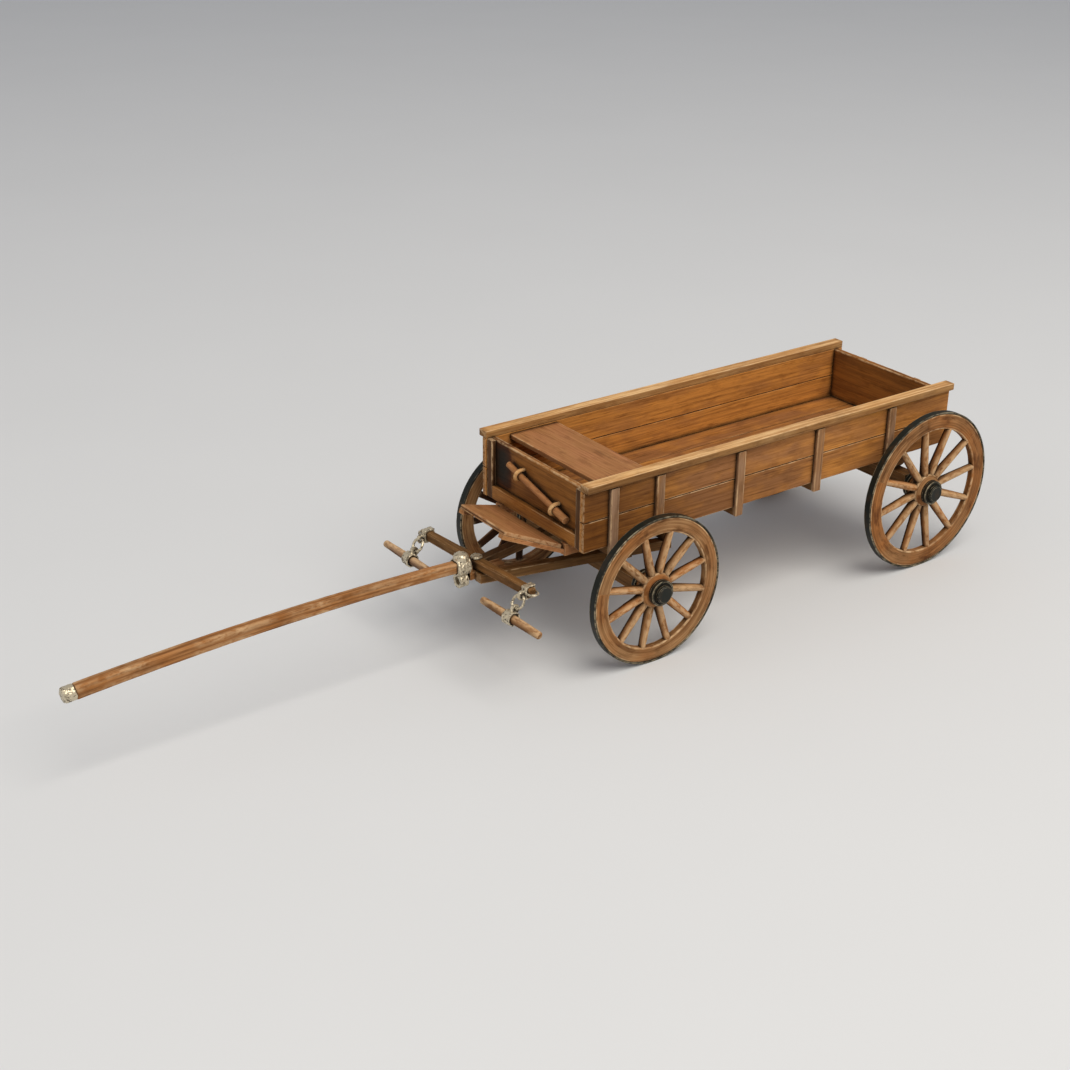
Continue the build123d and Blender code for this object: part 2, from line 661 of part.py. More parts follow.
# Evener and the bolt it turns on
EVENER_Z0 = HOUND_Z1 + EVENER_GAP
EVENER_Z1 = EVENER_Z0 + EVENER_HEIGHT
EVENER_MID = (EVENER_Z0 + EVENER_Z1) / 2
YAW = radians(EVENER_YAW)
EVENER_PLANE = Plane(
    origin=(EVENER_X, 0, EVENER_MID), x_dir=(cos(YAW), sin(YAW), 0), z_dir=(0, 0, 1)
)
with BuildPart() as evener:
    with BuildSketch(EVENER_PLANE.offset(-EVENER_HEIGHT / 2)):
        Polygon(
            (EVENER_DEPTH / 2, 0), (EVENER_END / 2, EVENER_HALF), (-EVENER_END / 2, EVENER_HALF),
            (-EVENER_DEPTH / 2, 0), (-EVENER_END / 2, -EVENER_HALF), (EVENER_END / 2, -EVENER_HALF),
        )
    extrude(amount=EVENER_HEIGHT)
    chamfer(evener.faces().filter_by(Axis.Z).edges(), EVENER_EDGE)
    pin(EVENER_X, 0, EVENER_Z0, EVENER_Z1, BOLT_R + PIN_PLAY, mode=Mode.SUBTRACT)
save(evener, "evener")

with BuildPart() as evener_bolt:
    pin(EVENER_X, 0, TENON_Z0, EVENER_Z1 + PIN_PLAY + BOLT_HEAD, BOLT_R)
    pin(EVENER_X, 0, EVENER_Z1 + PIN_PLAY, EVENER_Z1 + PIN_PLAY + BOLT_HEAD, BOLT_HEAD_R)
    fillet(evener_bolt.faces().sort_by(Axis.Z)[-1].edges(), BOLT_HEAD / 2)
save(evener_bolt, "evener_bolt")

# Clips on the ends of the evener: a band, a loop of wire round the end and an eye in front
CLIP_HALF = EVENER_DEPTH / 2 + (EVENER_END - EVENER_DEPTH) / 2 * CLIP_AT / EVENER_HALF + CLIP_THICK
LOOP_HALF = EVENER_END / 2 + LOOP_WIRE + PIN_FIT
with BuildPart() as evener_clips:
    for side_name, side in SIDES:
        band_height = EVENER_HEIGHT + 2 * CLIP_THICK
        with BuildSketch(EVENER_PLANE.offset(-band_height / 2)):
            with Locations((0, side * CLIP_AT)):
                Rectangle(2 * CLIP_HALF, CLIP_WIDTH)
        extrude(amount=band_height)
        with BuildLine(EVENER_PLANE) as loop_path:
            Line((LOOP_HALF, side * CLIP_AT), (LOOP_HALF, side * EVENER_HALF))
            ThreePointArc(
                (LOOP_HALF, side * EVENER_HALF),
                (0, side * (EVENER_HALF + LOOP_HALF)),
                (-LOOP_HALF, side * EVENER_HALF),
            )
            Line((-LOOP_HALF, side * EVENER_HALF), (-LOOP_HALF, side * CLIP_AT))
        loop_root = EVENER_PLANE.from_local_coords(Vector(LOOP_HALF, side * CLIP_AT, 0))
        with BuildSketch(Plane(origin=loop_root, z_dir=EVENER_PLANE.y_dir * side)):
            Circle(LOOP_WIRE)
        sweep()
        eye_at = EVENER_PLANE.from_local_coords(
            Vector(LINK_AHEAD, side * CLIP_AT - LINK_THICK / 2, -LINK_DROP)
        )
        eye_plane = Plane(origin=eye_at, x_dir=-EVENER_PLANE.x_dir, z_dir=EVENER_PLANE.y_dir)
        with BuildSketch(eye_plane):
            Circle(LINK_R)
            with Locations(((LINK_AHEAD - CLIP_HALF + CLIP_THICK) / 2, 0)):
                Rectangle(LINK_AHEAD - CLIP_HALF + CLIP_THICK, LINK_R)
        extrude(amount=LINK_THICK)
        with BuildSketch(eye_plane):
            Circle(LINK_HOLE)
        extrude(amount=LINK_THICK, mode=Mode.SUBTRACT)
    add(evener.part, mode=Mode.SUBTRACT)
save(evener_clips, "evener_clips")

# Singletrees: a round bar, and the ring and clasp it hangs by
for name, side, yaw in SINGLETREES:
    link = EVENER_PLANE.from_local_coords(Vector(LINK_AHEAD, side * CLIP_AT, -LINK_DROP))
    across = Vector(-sin(radians(yaw)), cos(radians(yaw)), 0)
    ahead = Vector(cos(radians(yaw)), sin(radians(yaw)), 0)
    hang = ahead * sin(HANG) + Vector(0, 0, -cos(HANG))
    eye = link + hang * (2 * RING_R)
    centre = eye + hang * CLASP_REACH

    with BuildPart() as singletree:
        with BuildSketch(Plane(origin=centre - across * (TREE_LENGTH / 2), z_dir=across)):
            Circle(TREE_R)
        extrude(amount=TREE_LENGTH)
        chamfer(singletree.edges().filter_by(GeomType.CIRCLE), TREE_EDGE)
        with BuildSketch(Plane(origin=centre - across * (CLASP_WIDTH / 2), z_dir=across)):
            Circle(TREE_MIDDLE_R)
        extrude(amount=CLASP_WIDTH)
    save(singletree, name)

    with BuildPart() as hanger:
        with BuildSketch(Plane(origin=centre - across * (CLASP_WIDTH / 2), z_dir=across)):
            Circle(TREE_MIDDLE_R + PIN_FIT + CLASP_THICK)
        extrude(amount=CLASP_WIDTH)
        eye_plane = Plane(origin=eye - across * (LINK_THICK / 2), x_dir=hang, z_dir=across)
        with BuildSketch(eye_plane):
            Circle(LINK_R)
            with Locations((CLASP_REACH / 2, 0)):
                Rectangle(CLASP_REACH, LINK_R)
        extrude(amount=LINK_THICK)
        with BuildSketch(eye_plane):
            Circle(LINK_HOLE)
        extrude(amount=LINK_THICK, mode=Mode.SUBTRACT)
        with BuildSketch(Plane(origin=centre - across * (CLASP_WIDTH / 2), z_dir=across)):
            Circle(TREE_MIDDLE_R + PIN_FIT)
        extrude(amount=CLASP_WIDTH, mode=Mode.SUBTRACT)
        with Locations(Plane(origin=(link + eye) / 2, z_dir=across.cross(hang))):
            Torus(RING_R, RING_WIRE)
    save(hanger, f"{name}_hanger")
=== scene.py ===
"""Finish of the scale-model farm wagon: worn boards, spoked wheels, irons and a plain stage."""

import json
from math import cos, pi, radians, sin, tau

import bmesh
import bpy
import numpy as np
from mathutils import Matrix, Vector, noise

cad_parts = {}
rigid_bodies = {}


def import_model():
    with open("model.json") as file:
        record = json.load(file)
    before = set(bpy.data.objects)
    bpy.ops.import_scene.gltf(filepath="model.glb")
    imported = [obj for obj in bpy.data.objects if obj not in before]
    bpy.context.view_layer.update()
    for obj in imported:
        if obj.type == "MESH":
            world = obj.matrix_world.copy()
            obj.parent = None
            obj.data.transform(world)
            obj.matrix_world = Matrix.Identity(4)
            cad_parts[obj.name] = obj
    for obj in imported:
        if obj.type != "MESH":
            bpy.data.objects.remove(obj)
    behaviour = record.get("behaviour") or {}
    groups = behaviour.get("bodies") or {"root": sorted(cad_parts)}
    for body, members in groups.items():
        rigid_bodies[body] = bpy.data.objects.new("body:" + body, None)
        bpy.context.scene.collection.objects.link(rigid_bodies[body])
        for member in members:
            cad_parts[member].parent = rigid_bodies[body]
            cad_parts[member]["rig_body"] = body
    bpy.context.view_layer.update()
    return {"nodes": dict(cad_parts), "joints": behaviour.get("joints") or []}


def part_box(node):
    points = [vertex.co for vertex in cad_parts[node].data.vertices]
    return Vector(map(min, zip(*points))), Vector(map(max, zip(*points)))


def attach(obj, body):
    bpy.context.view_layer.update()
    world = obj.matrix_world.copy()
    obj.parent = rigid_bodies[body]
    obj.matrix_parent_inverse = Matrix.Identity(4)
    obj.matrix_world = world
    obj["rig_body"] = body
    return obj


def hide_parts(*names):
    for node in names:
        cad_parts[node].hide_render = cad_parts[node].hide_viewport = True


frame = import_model()

bl_info = {
    "name": "Farm wagon model",
    "version": (1, 0, 0),
    "blender": (4, 5, 0),
    "location": "View3D > Sidebar > Wagon",
    "description": "Dresses the CAD frame of a scale-model farm wagon",
    "category": "Object",
}

MM = 0.001
X_AXIS = np.array((1.0, 0.0, 0.0))
Y_AXIS = np.array((0.0, 1.0, 0.0))
Z_AXIS = np.array((0.0, 0.0, 1.0))
AHEAD = (0, 0, 0)
ACROSS = (0, 0, pi / 2)
WHEELS = ("wheel_front_left", "wheel_front_right", "wheel_rear_left", "wheel_rear_right")

# Points on a rounded corner, their spacing across a broad face, and points round a rim and a hub.
ARC_STEPS = 4
SECTION_STEP = 1.4 * MM
RIM_STEPS = 180
HUB_STEPS = 72

# How close two places are the same: corners as a share of a millimetre, faces as a length.
GRID = 0.001
TOUCH = 0.01 * MM

# Ripples along a piece: the number of waves, the shortest and the longest.
DENT_WAVES = (5, 1.6 * MM, 8 * MM)
RUB_WAVES = (4, 8 * MM, 40 * MM)
SWAY_WAVES = (4, 9 * MM, 40 * MM)
RIM_DENT_WAVES = (5, 1.2 * MM, 5 * MM)
RIM_RUB_WAVES = (4, 8 * MM, 30 * MM)
RIM_STAIN_WAVES = (5, 3 * MM, 14 * MM)
KNIFE_WAVES = (4, 2 * MM, 9 * MM)
RIPPLE_GAIN = 1.6
GRAIN_SHIFT = 60 * MM

# Wheels: the shade and the range of tints of a rim, radii along a spoke, the steps in mm that round
# a hub's flange, and where its nose turns black, as a share of its length less a lead.
FELLOE_COUNT = 6
JOINT_GAP = 0.12 * MM
TYRE_ROUND = 0.11 * MM
BAND_ROUND = 0.09 * MM
RIM_LOOKS = {"front": (0.1, (0.0, 0.5)), "rear": (0.15, (0.5, 1.0))}
SPOKE_RADII = np.array((0.86, 0.8, 0.75, 0.7, 0.66)) * MM
FLANGE_STEPS = ((0.16, 0.0), (0.05, 0.05), (0.0, 0.16))
NOSE_SHARE = 0.62
NOSE_LEAD = 0.35 * MM

# The lower board of a side ends under this height.
LOWER_BOARD_TOP = 29 * MM

# Draught bars: radii along a singletree, corners at each end of its solid, and the share of the
# pole's thickness that is left at its butt.
SINGLETREE_RADII = tuple(0.76 * MM * share for share in (0.9, 1.0, 1.08, 1.0, 0.92))
SINGLETREE_CORNERS = 12
BUTT_SHARE = 0.86

# Woods: name, where it is, and the light, dark and warm tones of its grain.
WOODS = (
    ("side", "box boards", (0.36, 0.158, 0.058), (0.20, 0.074, 0.018), (0.62, 0.262, 0.056)),
    ("rail", "rails and staples", (0.78, 0.51, 0.25), (0.40, 0.18, 0.055), (0.66, 0.37, 0.14)),
    ("cleat", "cleats, posts and singletrees",
     (0.36, 0.22, 0.135), (0.20, 0.105, 0.05), (0.33, 0.155, 0.055)),
    ("seat", "seat, footboard and rod", (0.46, 0.2, 0.084), (0.26, 0.105, 0.034), (0.42, 0.2, 0.074)),
    # The gear tones are also darker as painted shade, for the bars that lie in the shade under the box.
    ("gear", "bars under the box", (0.2, 0.105, 0.036), (0.075, 0.034, 0.01), (0.2, 0.088, 0.024)),
    ("pole", "pole", (0.52, 0.27, 0.115), (0.19, 0.072, 0.018), (0.44, 0.18, 0.05)),
    ("wheel", "wheels", (0.43, 0.235, 0.1), (0.17, 0.066, 0.018), (0.42, 0.165, 0.044)),
)

# Kinds of socket on a node group, and the tones that dashes and blotches give the wood.
VECTOR, COLOUR, VALUE = "NodeSocketVector", "NodeSocketColor", "NodeSocketFloat"
DASH_TONE = (0.36, 0.27, 0.2, 1)
BLOTCH_TONE = (0.42, 0.34, 0.24, 1)


def colour(name, description, default):
    """A colour that a user can change."""
    return bpy.props.FloatVectorProperty(
        name=name, description=description, default=default, subtype="COLOR", size=3, min=0, max=1
    )


def setting(name, description, default, **kind):
    """A number that a user can change."""
    return bpy.props.FloatProperty(name=name, description=description, default=default, **kind)


def length(name, description, default):
    """A length that a user can change."""
    return setting(name, description, default, unit="LENGTH", min=0, precision=5)


class WagonColours(bpy.types.PropertyGroup):
    """Colours of the paint and stain."""

    # The first colour is thin dark paint and also painted shade: it is laid where ambient occlusion
    # finds the corners.
    dark_wash_and_shade: colour("Dark wash", "Thin dark paint left in the corners", (0.014, 0.007, 0.003))
    glaze: colour("Glaze", "Brown glaze over the stained boards", (0.15, 0.095, 0.03))
    bare_edge: colour("Bare edge", "Pale wood where an edge is rubbed", (0.70, 0.48, 0.27))
    black_paint: colour("Black paint", "Paint on the tyres and bands", (0.010, 0.012, 0.009))
    rubbed_iron: colour("Rubbed iron", "Edges rubbed through the black paint", (0.42, 0.35, 0.23))
    bright_metal: colour("Bright metal", "Bright fittings", (0.64, 0.56, 0.41))
    tarnish: colour("Tarnish", "Dark patches on bright fittings", (0.05, 0.03, 0.013))
    floor: colour("Floor", "Plain pale floor", (0.69, 0.71, 0.74))


# The three tones of each wood are colours of the same group.
for wood_name, where, *wood_tones in WOODS:
    for kind, tone in zip(("light", "dark", "warm"), wood_tones):
        WagonColours.__annotations__[f"{wood_name}_{kind}"] = colour(
            f"{wood_name} {kind}".capitalize(), f"{kind} tone of the {where}".capitalize(), tone
        )


class WagonSizes(bpy.types.PropertyGroup):
    """Small sizes of the hand work."""

    edge_round: length("Edge rounding", "Radius worn on the edges of the boards", 0.11 * MM)
    rim_round: length("Rim rounding", "Radius worn on the edges of the wheel rims", 0.2 * MM)
    wobble: length("Wobble", "Unevenness of the sawn faces", 0.03 * MM)
    board_step: length("Board step", "Spacing of the cross cuts along a board", 1.2 * MM)
    joint_groove: length("Joint groove", "Depth of the joints in the felloes", 0.03 * MM)
    hammer: length("Hammer marks", "Unevenness of the cast and bent irons", 0.1 * MM)


class WagonStage(bpy.types.PropertyGroup):
    """Camera, floor and lights."""

    lens: setting("Lens", "Focal length of the camera in mm", 57.26, unit="CAMERA")
    camera_at: bpy.props.FloatVectorProperty(
        name="Camera place", description="Where the camera stands", subtype="TRANSLATION",
        unit="LENGTH", default=(0.166, 0.226009, 0.15245),
    )
    camera_yaw: setting("Yaw", "Heading of the camera from +X", -2.195, subtype="ANGLE")
    camera_pitch: setting("Pitch", "Tilt of the camera from level", -0.445, subtype="ANGLE")
    camera_roll: setting("Roll", "Roll of the camera", 0.01, subtype="ANGLE")
    key_power: setting("Key light", "Power of the large soft light", 6.0, unit="POWER")
    fill_power: setting("Fill light", "Power of the side light", 0.8, unit="POWER")
    sky: setting("Room light", "Strength of the even light all round", 0.4)


def solids(node):
    """The corner points of each solid in a CAD node, one array for each solid."""
    mesh = frame["nodes"][node].data
    points = np.zeros(len(mesh.vertices) * 3)
    mesh.vertices.foreach_get("co", points)
    grid = np.round(points.reshape(-1, 3) / (GRID * MM)).astype(np.int64)
    corners, index = np.unique(grid, axis=0, return_inverse=True)
    index = index.reshape(-1)
    owner = list(range(len(corners)))

    def root(item):
        while owner[item] != item:
            owner[item] = owner[owner[item]]
            item = owner[item]
        return item

    for face in mesh.polygons:
        first = root(index[face.vertices[0]])
        for vertex in face.vertices[1:]:
            owner[root(index[vertex])] = first
    groups = {}
    for item in range(len(corners)):
        groups.setdefault(root(item), []).append(item)
    return [corners[members] * GRID * MM for _, members in sorted(groups.items())]


def box_corners(points):
    """The eight corners of the upright box round some points."""
    ends = (points.min(0), points.max(0))
    return np.array([
        (ends[i][0], ends[j][1], ends[k][2]) for i in (0, 1) for j in (0, 1) for k in (0, 1)
    ])


def seed_of(name):
    """Random numbers of its own for each piece, the same at each run."""
    return np.random.default_rng(sum((i + 1) * ord(c) for i, c in enumerate(name)))


def ripple(distance, rng, count, shortest, longest):
    """A smooth random curve along a distance, between about -1 and 1."""
    numbers = tau / rng.uniform(shortest, longest, count)
    phases = rng.uniform(0, tau, count)
    return np.sin(np.multiply.outer(distance, numbers) + phases).mean(-1) * RIPPLE_GAIN


def grain_of(rng, along, first, second):
    """Places in the grain, a distance along it and two across, shifted by a random amount."""
    places = np.stack(np.broadcast_arrays(along, first, second), axis=2)
    return places + rng.uniform(0, GRAIN_SHIFT, 3)


def axle_distance(points):
    """How far points lie from a level axle across the wagon, through the origin."""
    return np.hypot(points[:, 0], points[:, 2])


def stand_for(piece, node):
    """Let a piece stand for a CAD node and move with that node's body."""
    bpy.context.scene.collection.objects.link(piece)
    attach(piece, frame["nodes"][node]["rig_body"])
    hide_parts(node)


class Shape:
    """Gathers rings of points into one mesh that also carries grain, wear, tint and shade."""

    LAYERS = (("grain", "FLOAT_VECTOR", "vector"), ("wear", "FLOAT", "value"),
              ("tint", "FLOAT", "value"), ("shade", "FLOAT", "value"))

    def __init__(self):
        self.points, self.faces, self.count = [], [], 0
        self.values = {label: [] for label, kind, field in self.LAYERS}

    def rings(self, points, grain, wear, tint, shade, loop=False):
        """Join closed rings in order. The end rings are capped, unless loop joins them."""
        number, size = points.shape[:2]
        index = self.count + np.arange(number * size).reshape(number, size)
        ahead = np.roll(index, -1, axis=1)
        for i in range(number if loop else number - 1):
            j = (i + 1) % number
            self.faces += np.stack((index[i], ahead[i], ahead[j], index[j]), axis=1).tolist()
        if not loop:
            self.faces += [index[0][::-1].tolist(), index[-1].tolist()]
        self.points.append(points.reshape(-1, 3))
        self.values["grain"].append(np.broadcast_to(grain, points.shape).reshape(-1, 3))
        for label, value in (("wear", wear), ("tint", tint), ("shade", shade)):
            self.values[label].append(np.broadcast_to(value, (number, size)).reshape(-1))
        self.count += number * size

    def make(self, node, material, sharp=radians(50)):
        """Make the mesh that stands for a CAD node."""
        mesh = bpy.data.meshes.new("look_" + node)
        mesh.from_pydata(np.concatenate(self.points).tolist(), [], self.faces)
        for label, kind, field in self.LAYERS:
            layer = mesh.attributes.new(label, kind, "POINT")
            values = np.concatenate(self.values[label]).astype(np.float32)
            layer.data.foreach_set(field, values.ravel())
        work = bmesh.new()
        work.from_mesh(mesh)
        bmesh.ops.recalc_face_normals(work, faces=work.faces)
        work.to_mesh(mesh)
        work.free()
        mesh.shade_smooth()
        mesh.set_sharp_from_angle(angle=sharp)
        mesh.materials.append(material)
        stand_for(bpy.data.objects.new("look_" + node, mesh), node)


def section_stops(span, edge):
    """Places of the extra points between two rounded corners, as shares of the span."""
    near = 2.2 * edge
    if span < 3 * near:
        return [0.5]
    middle = np.linspace(near, span - near, max(2, int(span / SECTION_STEP) + 1))
    return (middle / span).tolist()


def end_quads(corners, along, side, up):
    """The four corners at each end of a board, in order round its length."""
    order = np.argsort(corners @ along)
    for group in (order[:4], order[4:]):
        quad = corners[group]
        turn = np.arctan2((quad - quad.mean(0)) @ up, (quad - quad.mean(0)) @ side)
        yield quad[np.argsort(turn)]


def cross_cuts(span, edge, step):
    """Places of the cuts along a board, and how far its rounded ends set each of them in."""
    turns = np.linspace(pi / 2, 0, ARC_STEPS)
    lead = edge * (1 - np.sin(turns))
    inset = edge * (1 - np.cos(turns))
    middle = np.linspace(edge, span - edge, max(3, int(span / step)))[1:-1]
    places = np.concatenate((lead, middle, span - lead[::-1]))
    return places, np.concatenate((inset, np.zeros(len(middle)), inset[::-1]))


def worn_edges(places, rng, edge, dents, rub):
    """The radius of a board's four long edges at each cut, and how rubbed they are there."""
    radius, rubbed = np.empty((len(places), 4)), np.empty((len(places), 4))
    for corner in range(4):
        short = ripple(places, rng, *DENT_WAVES)
        broad = ripple(places, rng, *RUB_WAVES)
        radius[:, corner] = edge * np.clip(1 + dents * short, 0.6, 1.8)
        rubbed[:, corner] = np.clip(rub + 0.5 * broad + 0.25 * short, 0, 1)
    return radius, rubbed


def board(shape, corners, along, rng, edge=None, dents=0.4, rub=0.5, tone=None, bend=None):
    """Add a sawn board with worn edges between eight corners, with its grain along one direction.

    dents is how uneven the edges are and rub how much of them is rubbed pale. tone gives the tint,
    shade and share of wear at each point, and bend moves the points of a bowed bar.
    """
    sizes = bpy.context.scene.wagon_sizes
    edge = sizes.edge_round if edge is None else edge
    side = Z_AXIS if abs(along[2]) < 0.5 else X_AXIS
    up = np.cross(along, side)
    start, stop = end_quads(corners, along, side, up)
    span = np.linalg.norm(stop.mean(0) - start.mean(0))
    places, insets = cross_cuts(span, edge, sizes.board_step)
    share = (places / span)[:, None, None]
    quad = start[None] * (1 - share) + stop[None] * share

    before = np.roll(quad, 1, axis=1) - quad
    after = np.roll(quad, -1, axis=1) - quad
    spans = np.linalg.norm(after, axis=2)
    before = before / np.linalg.norm(before, axis=2, keepdims=True)
    after = after / spans[..., None]
    quad = quad + insets[:, None, None] * (before + after)

    radius, rubbed = worn_edges(places, rng, edge, dents, rub)
    radius = np.minimum(radius, 0.45 * spans.min())
    columns, wear = [], []
    for corner in range(4):
        here, r = quad[:, corner], radius[:, corner, None]
        for turn in np.linspace(0, pi / 2, ARC_STEPS):
            reach = (1 - sin(turn)) * before[:, corner] + (1 - cos(turn)) * after[:, corner]
            columns.append(here + r * reach)
            wear.append(rubbed[:, corner])
        there = quad[:, (corner + 1) % 4]
        for stop_share in section_stops(spans[:, corner].mean(), edge):
            columns.append(here + (there - here) * stop_share)
            wear.append(np.zeros(len(places)))
    points = np.stack(columns, axis=1)
    wear = np.stack(wear, axis=1)
    for end in (slice(None, ARC_STEPS - 1), slice(1 - ARC_STEPS, None)):
        wear[end] = np.maximum(wear[end], rub)

    centre = points.mean(axis=1, keepdims=True)
    out = points - centre
    out = out / np.linalg.norm(out, axis=2, keepdims=True)
    sway = ripple(places, rng, *SWAY_WAVES)
    points = points - out * (sizes.wobble * np.clip(0.5 + 0.5 * sway, 0, 1))[:, None, None]

    place = points - centre
    grain = grain_of(rng, places[:, None], place @ side, place @ up)
    tint, shade, keep = tone(points) if tone else (rng.uniform(), 0.15 * rng.uniform(), 1.0)
    shape.rings(bend(points) if bend else points, grain, wear * keep, tint, shade)


def ring_profile(points, edge):
    """The rounded section of a ring about its axle, as radius and height, and the share of wear."""
    spread = axle_distance(points)
    inner, outer = spread.min(), spread.max()
    low, high = points[:, 1].min(), points[:, 1].max()
    profile, wear = [], []
    centres = (
        (outer - edge, high - edge, 0), (inner + edge, high - edge, 1),
        (inner + edge, low + edge, 2), (outer - edge, low + edge, 3),
    )
    for number, (radius, height, quarter) in enumerate(centres):
        for turn in np.linspace(0, pi / 2, ARC_STEPS):
            angle = turn + quarter * pi / 2
            profile.append((radius + edge * cos(angle), height + edge * sin(angle)))
            wear.append(1.0)
        following = centres[(number + 1) % 4]
        angle = (quarter + 1) * pi / 2
        reach = np.array((edge * cos(angle), edge * sin(angle)))
        first, last = np.array((radius, height)) + reach, np.array(following[:2]) + reach
        near = min(0.3, 0.7 * edge / np.linalg.norm(last - first))
        for share in (near, 0.5, 1 - near):
            profile.append(first + (last - first) * share)
            wear.append(0.0)
    return np.array(profile), np.array(wear)


def ring_angles(rng, joints, gap, count, warm):
    """Angles round a ring, how much a joint pinches it at each, and the tints of its segments."""
    if not joints:
        return np.arange(count) * tau / count, np.zeros(count), np.full(count, rng.uniform(*warm))
    first = rng.uniform(0, tau / joints)
    angles, pinch, tints, last = [], [], [], rng.uniform(*warm)
    for begin in first + np.arange(joints) * tau / joints:
        middle = np.linspace(begin + gap, begin + tau / joints - gap, count // joints)
        value = rng.uniform(*warm)
        angles += [begin - gap * 0.02, begin + gap * 0.02, *middle]
        pinch += [1.0, 1.0, *np.zeros(len(middle))]
        tints += [last, value, *np.full(len(middle), value)]
        last = value
    return np.array(angles), np.array(pinch), np.array(tints)


def turned(shape, centre, profile, wear, rng, joints=0, groove=0.0, count=RIM_STEPS, rub=0.55, shade=0.0,
           stain=0.0, out=1, warm=(0.0, 1.0)):
    """Turn a closed profile of radius and height about an axle through centre.

    joints is the number of segments, with a groove between them, and warm the range of their tints.
    stain is how much darker some stretches are than others.
    """
    gap = JOINT_GAP / profile[:, 0].max()
    angles, pinch, tints = ring_angles(rng, joints, gap, count, warm)
    middle = profile.mean(0)
    outward = np.sign(profile - middle)
    radius, height = (
        profile[None, :, way] - outward[None, :, way] * groove * pinch[:, None] for way in (0, 1)
    )
    points = np.stack((
        centre[0] + radius * np.cos(angles)[:, None],
        centre[1] + out * height,
        centre[2] + radius * np.sin(angles)[:, None],
    ), axis=2)
    around = angles * middle[0]
    grain = grain_of(rng, around[:, None], radius, height)
    broad = ripple(around, rng, *RIM_RUB_WAVES)
    short = ripple(around, rng, *RIM_DENT_WAVES)
    rubbed = np.clip(rub + 0.4 * broad + 0.3 * short, 0.05, 1)
    patch = np.clip(0.4 + ripple(around, rng, *RIM_STAIN_WAVES), 0, 1)
    shade = shade + stain * patch[:, None]
    shape.rings(points, grain, wear[None] * rubbed[:, None], tints[:, None], shade, loop=True)


def round_bar(shape, start, stop, radii, rng, flat=1.0, front=Z_AXIS, tip=0.2, sides=16, steps=14,
              wear=0.5, flank_shade=0.0, pale=0.5 * MM):
    """Add a hand-cut round bar whose radius runs through the given values from start to stop.

    front is the side that is rubbed pale, flat the bar's depth towards it against its width,
    flank_shade how dark the other sides are, partly their own stain and partly painted shade on the
    sides turned away, tip how round the ends are and pale the length of their rubbed part.
    """
    span = np.linalg.norm(stop - start)
    along = (stop - start) / span
    front = front - along * (front @ along)
    front = front / np.linalg.norm(front)
    side = np.cross(along, front)
    tip = tip * radii[0]
    middle = np.linspace(tip, span - tip, steps)
    places = np.concatenate(((0, 0.3 * tip), middle, (span - 0.3 * tip, span)))
    radius = np.interp(places / span, np.linspace(0, 1, len(radii)), radii)
    radius[[0, -1]] -= tip
    radius[[1, -2]] -= 0.3 * tip
    radius = radius * (1 - 0.03 * np.abs(ripple(places, rng, *KNIFE_WAVES)))
    turns = np.arange(sides) * tau / sides
    across = np.cos(turns)[:, None] * side + flat * np.sin(turns)[:, None] * front
    points = start + places[:, None, None] * along + radius[:, None, None] * across[None]
    thick = radius[:, None]
    grain = grain_of(rng, places[:, None], thick * np.cos(turns), thick * np.sin(turns))
    facing = np.clip(np.sin(turns) * 1.6 - 0.5, 0, 1)
    ends = np.clip(1.4 - np.minimum(places, span - places) / pale, 0, 1)
    rubbed = np.maximum(wear * facing[None], 0.9 * wear * ends[:, None])
    # Painted shade: the sides turned away from front are darkened, together with their darker stain.
    dark = flank_shade * np.clip(0.55 - np.sin(turns), 0, 1)
    shape.rings(points, grain, rubbed, rng.uniform(), dark[None])


def group_of(name, inputs, outputs):
    """A new shader node group with named sockets, and its two end nodes."""
    group = bpy.data.node_groups.new(name, "ShaderNodeTree")
    for label, kind, value in inputs:
        socket = group.interface.new_socket(label, in_out="INPUT", socket_type=kind)
        if value is not None:
            socket.default_value = value
    for label, kind in outputs:
        group.interface.new_socket(label, in_out="OUTPUT", socket_type=kind)
    return group, group.nodes.new("NodeGroupInput").outputs, group.nodes.new("NodeGroupOutput")


def feed(tree, node, links):
    """Link a node's inputs, by name or number, to the values that are sockets, and set the others."""
    for label, value in links.items():
        if isinstance(value, bpy.types.NodeSocket):
            tree.links.new(value, node.inputs[label])
        else:
            node.inputs[label].default_value = value


def node_in(tree, kind, links=None, **settings):
    """A new node with its settings, and its inputs linked or set by name or number."""
    node = tree.nodes.new(kind)
    for label, value in settings.items():
        setattr(node, label, value)
    feed(tree, node, links or {})
    return node


def math_in(tree, operation, first, second, clamp=False):
    """The result of one sum on values or sockets."""
    links = {0: first, 1: second}
    return node_in(tree, "ShaderNodeMath", links, operation=operation, use_clamp=clamp).outputs[0]


def scaled_in(tree, value, factor, start):
    """A value times a factor, added to a start."""
    return math_in(tree, "ADD", math_in(tree, "MULTIPLY", value, factor), start)


def mix_in(tree, share, first, second, blend="MIX"):
    """One colour mixed into another by a share."""
    links = {0: share, 6: first, 7: second}
    return node_in(tree, "ShaderNodeMix", links, data_type="RGBA", blend_type=blend).outputs[2]


def ramp_in(tree, value, low, high):
    """A value stretched so that low becomes 0 and high becomes 1."""
    links = {0: value, 1: low, 2: high, 3: 0.0, 4: 1.0}
    settings = {"interpolation_type": "SMOOTHSTEP", "clamp": True}
    return node_in(tree, "ShaderNodeMapRange", links, **settings).outputs[0]


def noise_in(tree, place, stretch, detail, rough):
    """Noise over a place in metres, where stretch is its features in a millimetre each way."""
    scale = tuple(s / MM for s in stretch)
    mapped = node_in(tree, "ShaderNodeMapping", {"Vector": place, "Scale": scale}).outputs[0]
    links = {"Vector": mapped, "Scale": 1.0, "Detail": detail, "Roughness": rough}
    return node_in(tree, "ShaderNodeTexNoise", links).outputs[0]


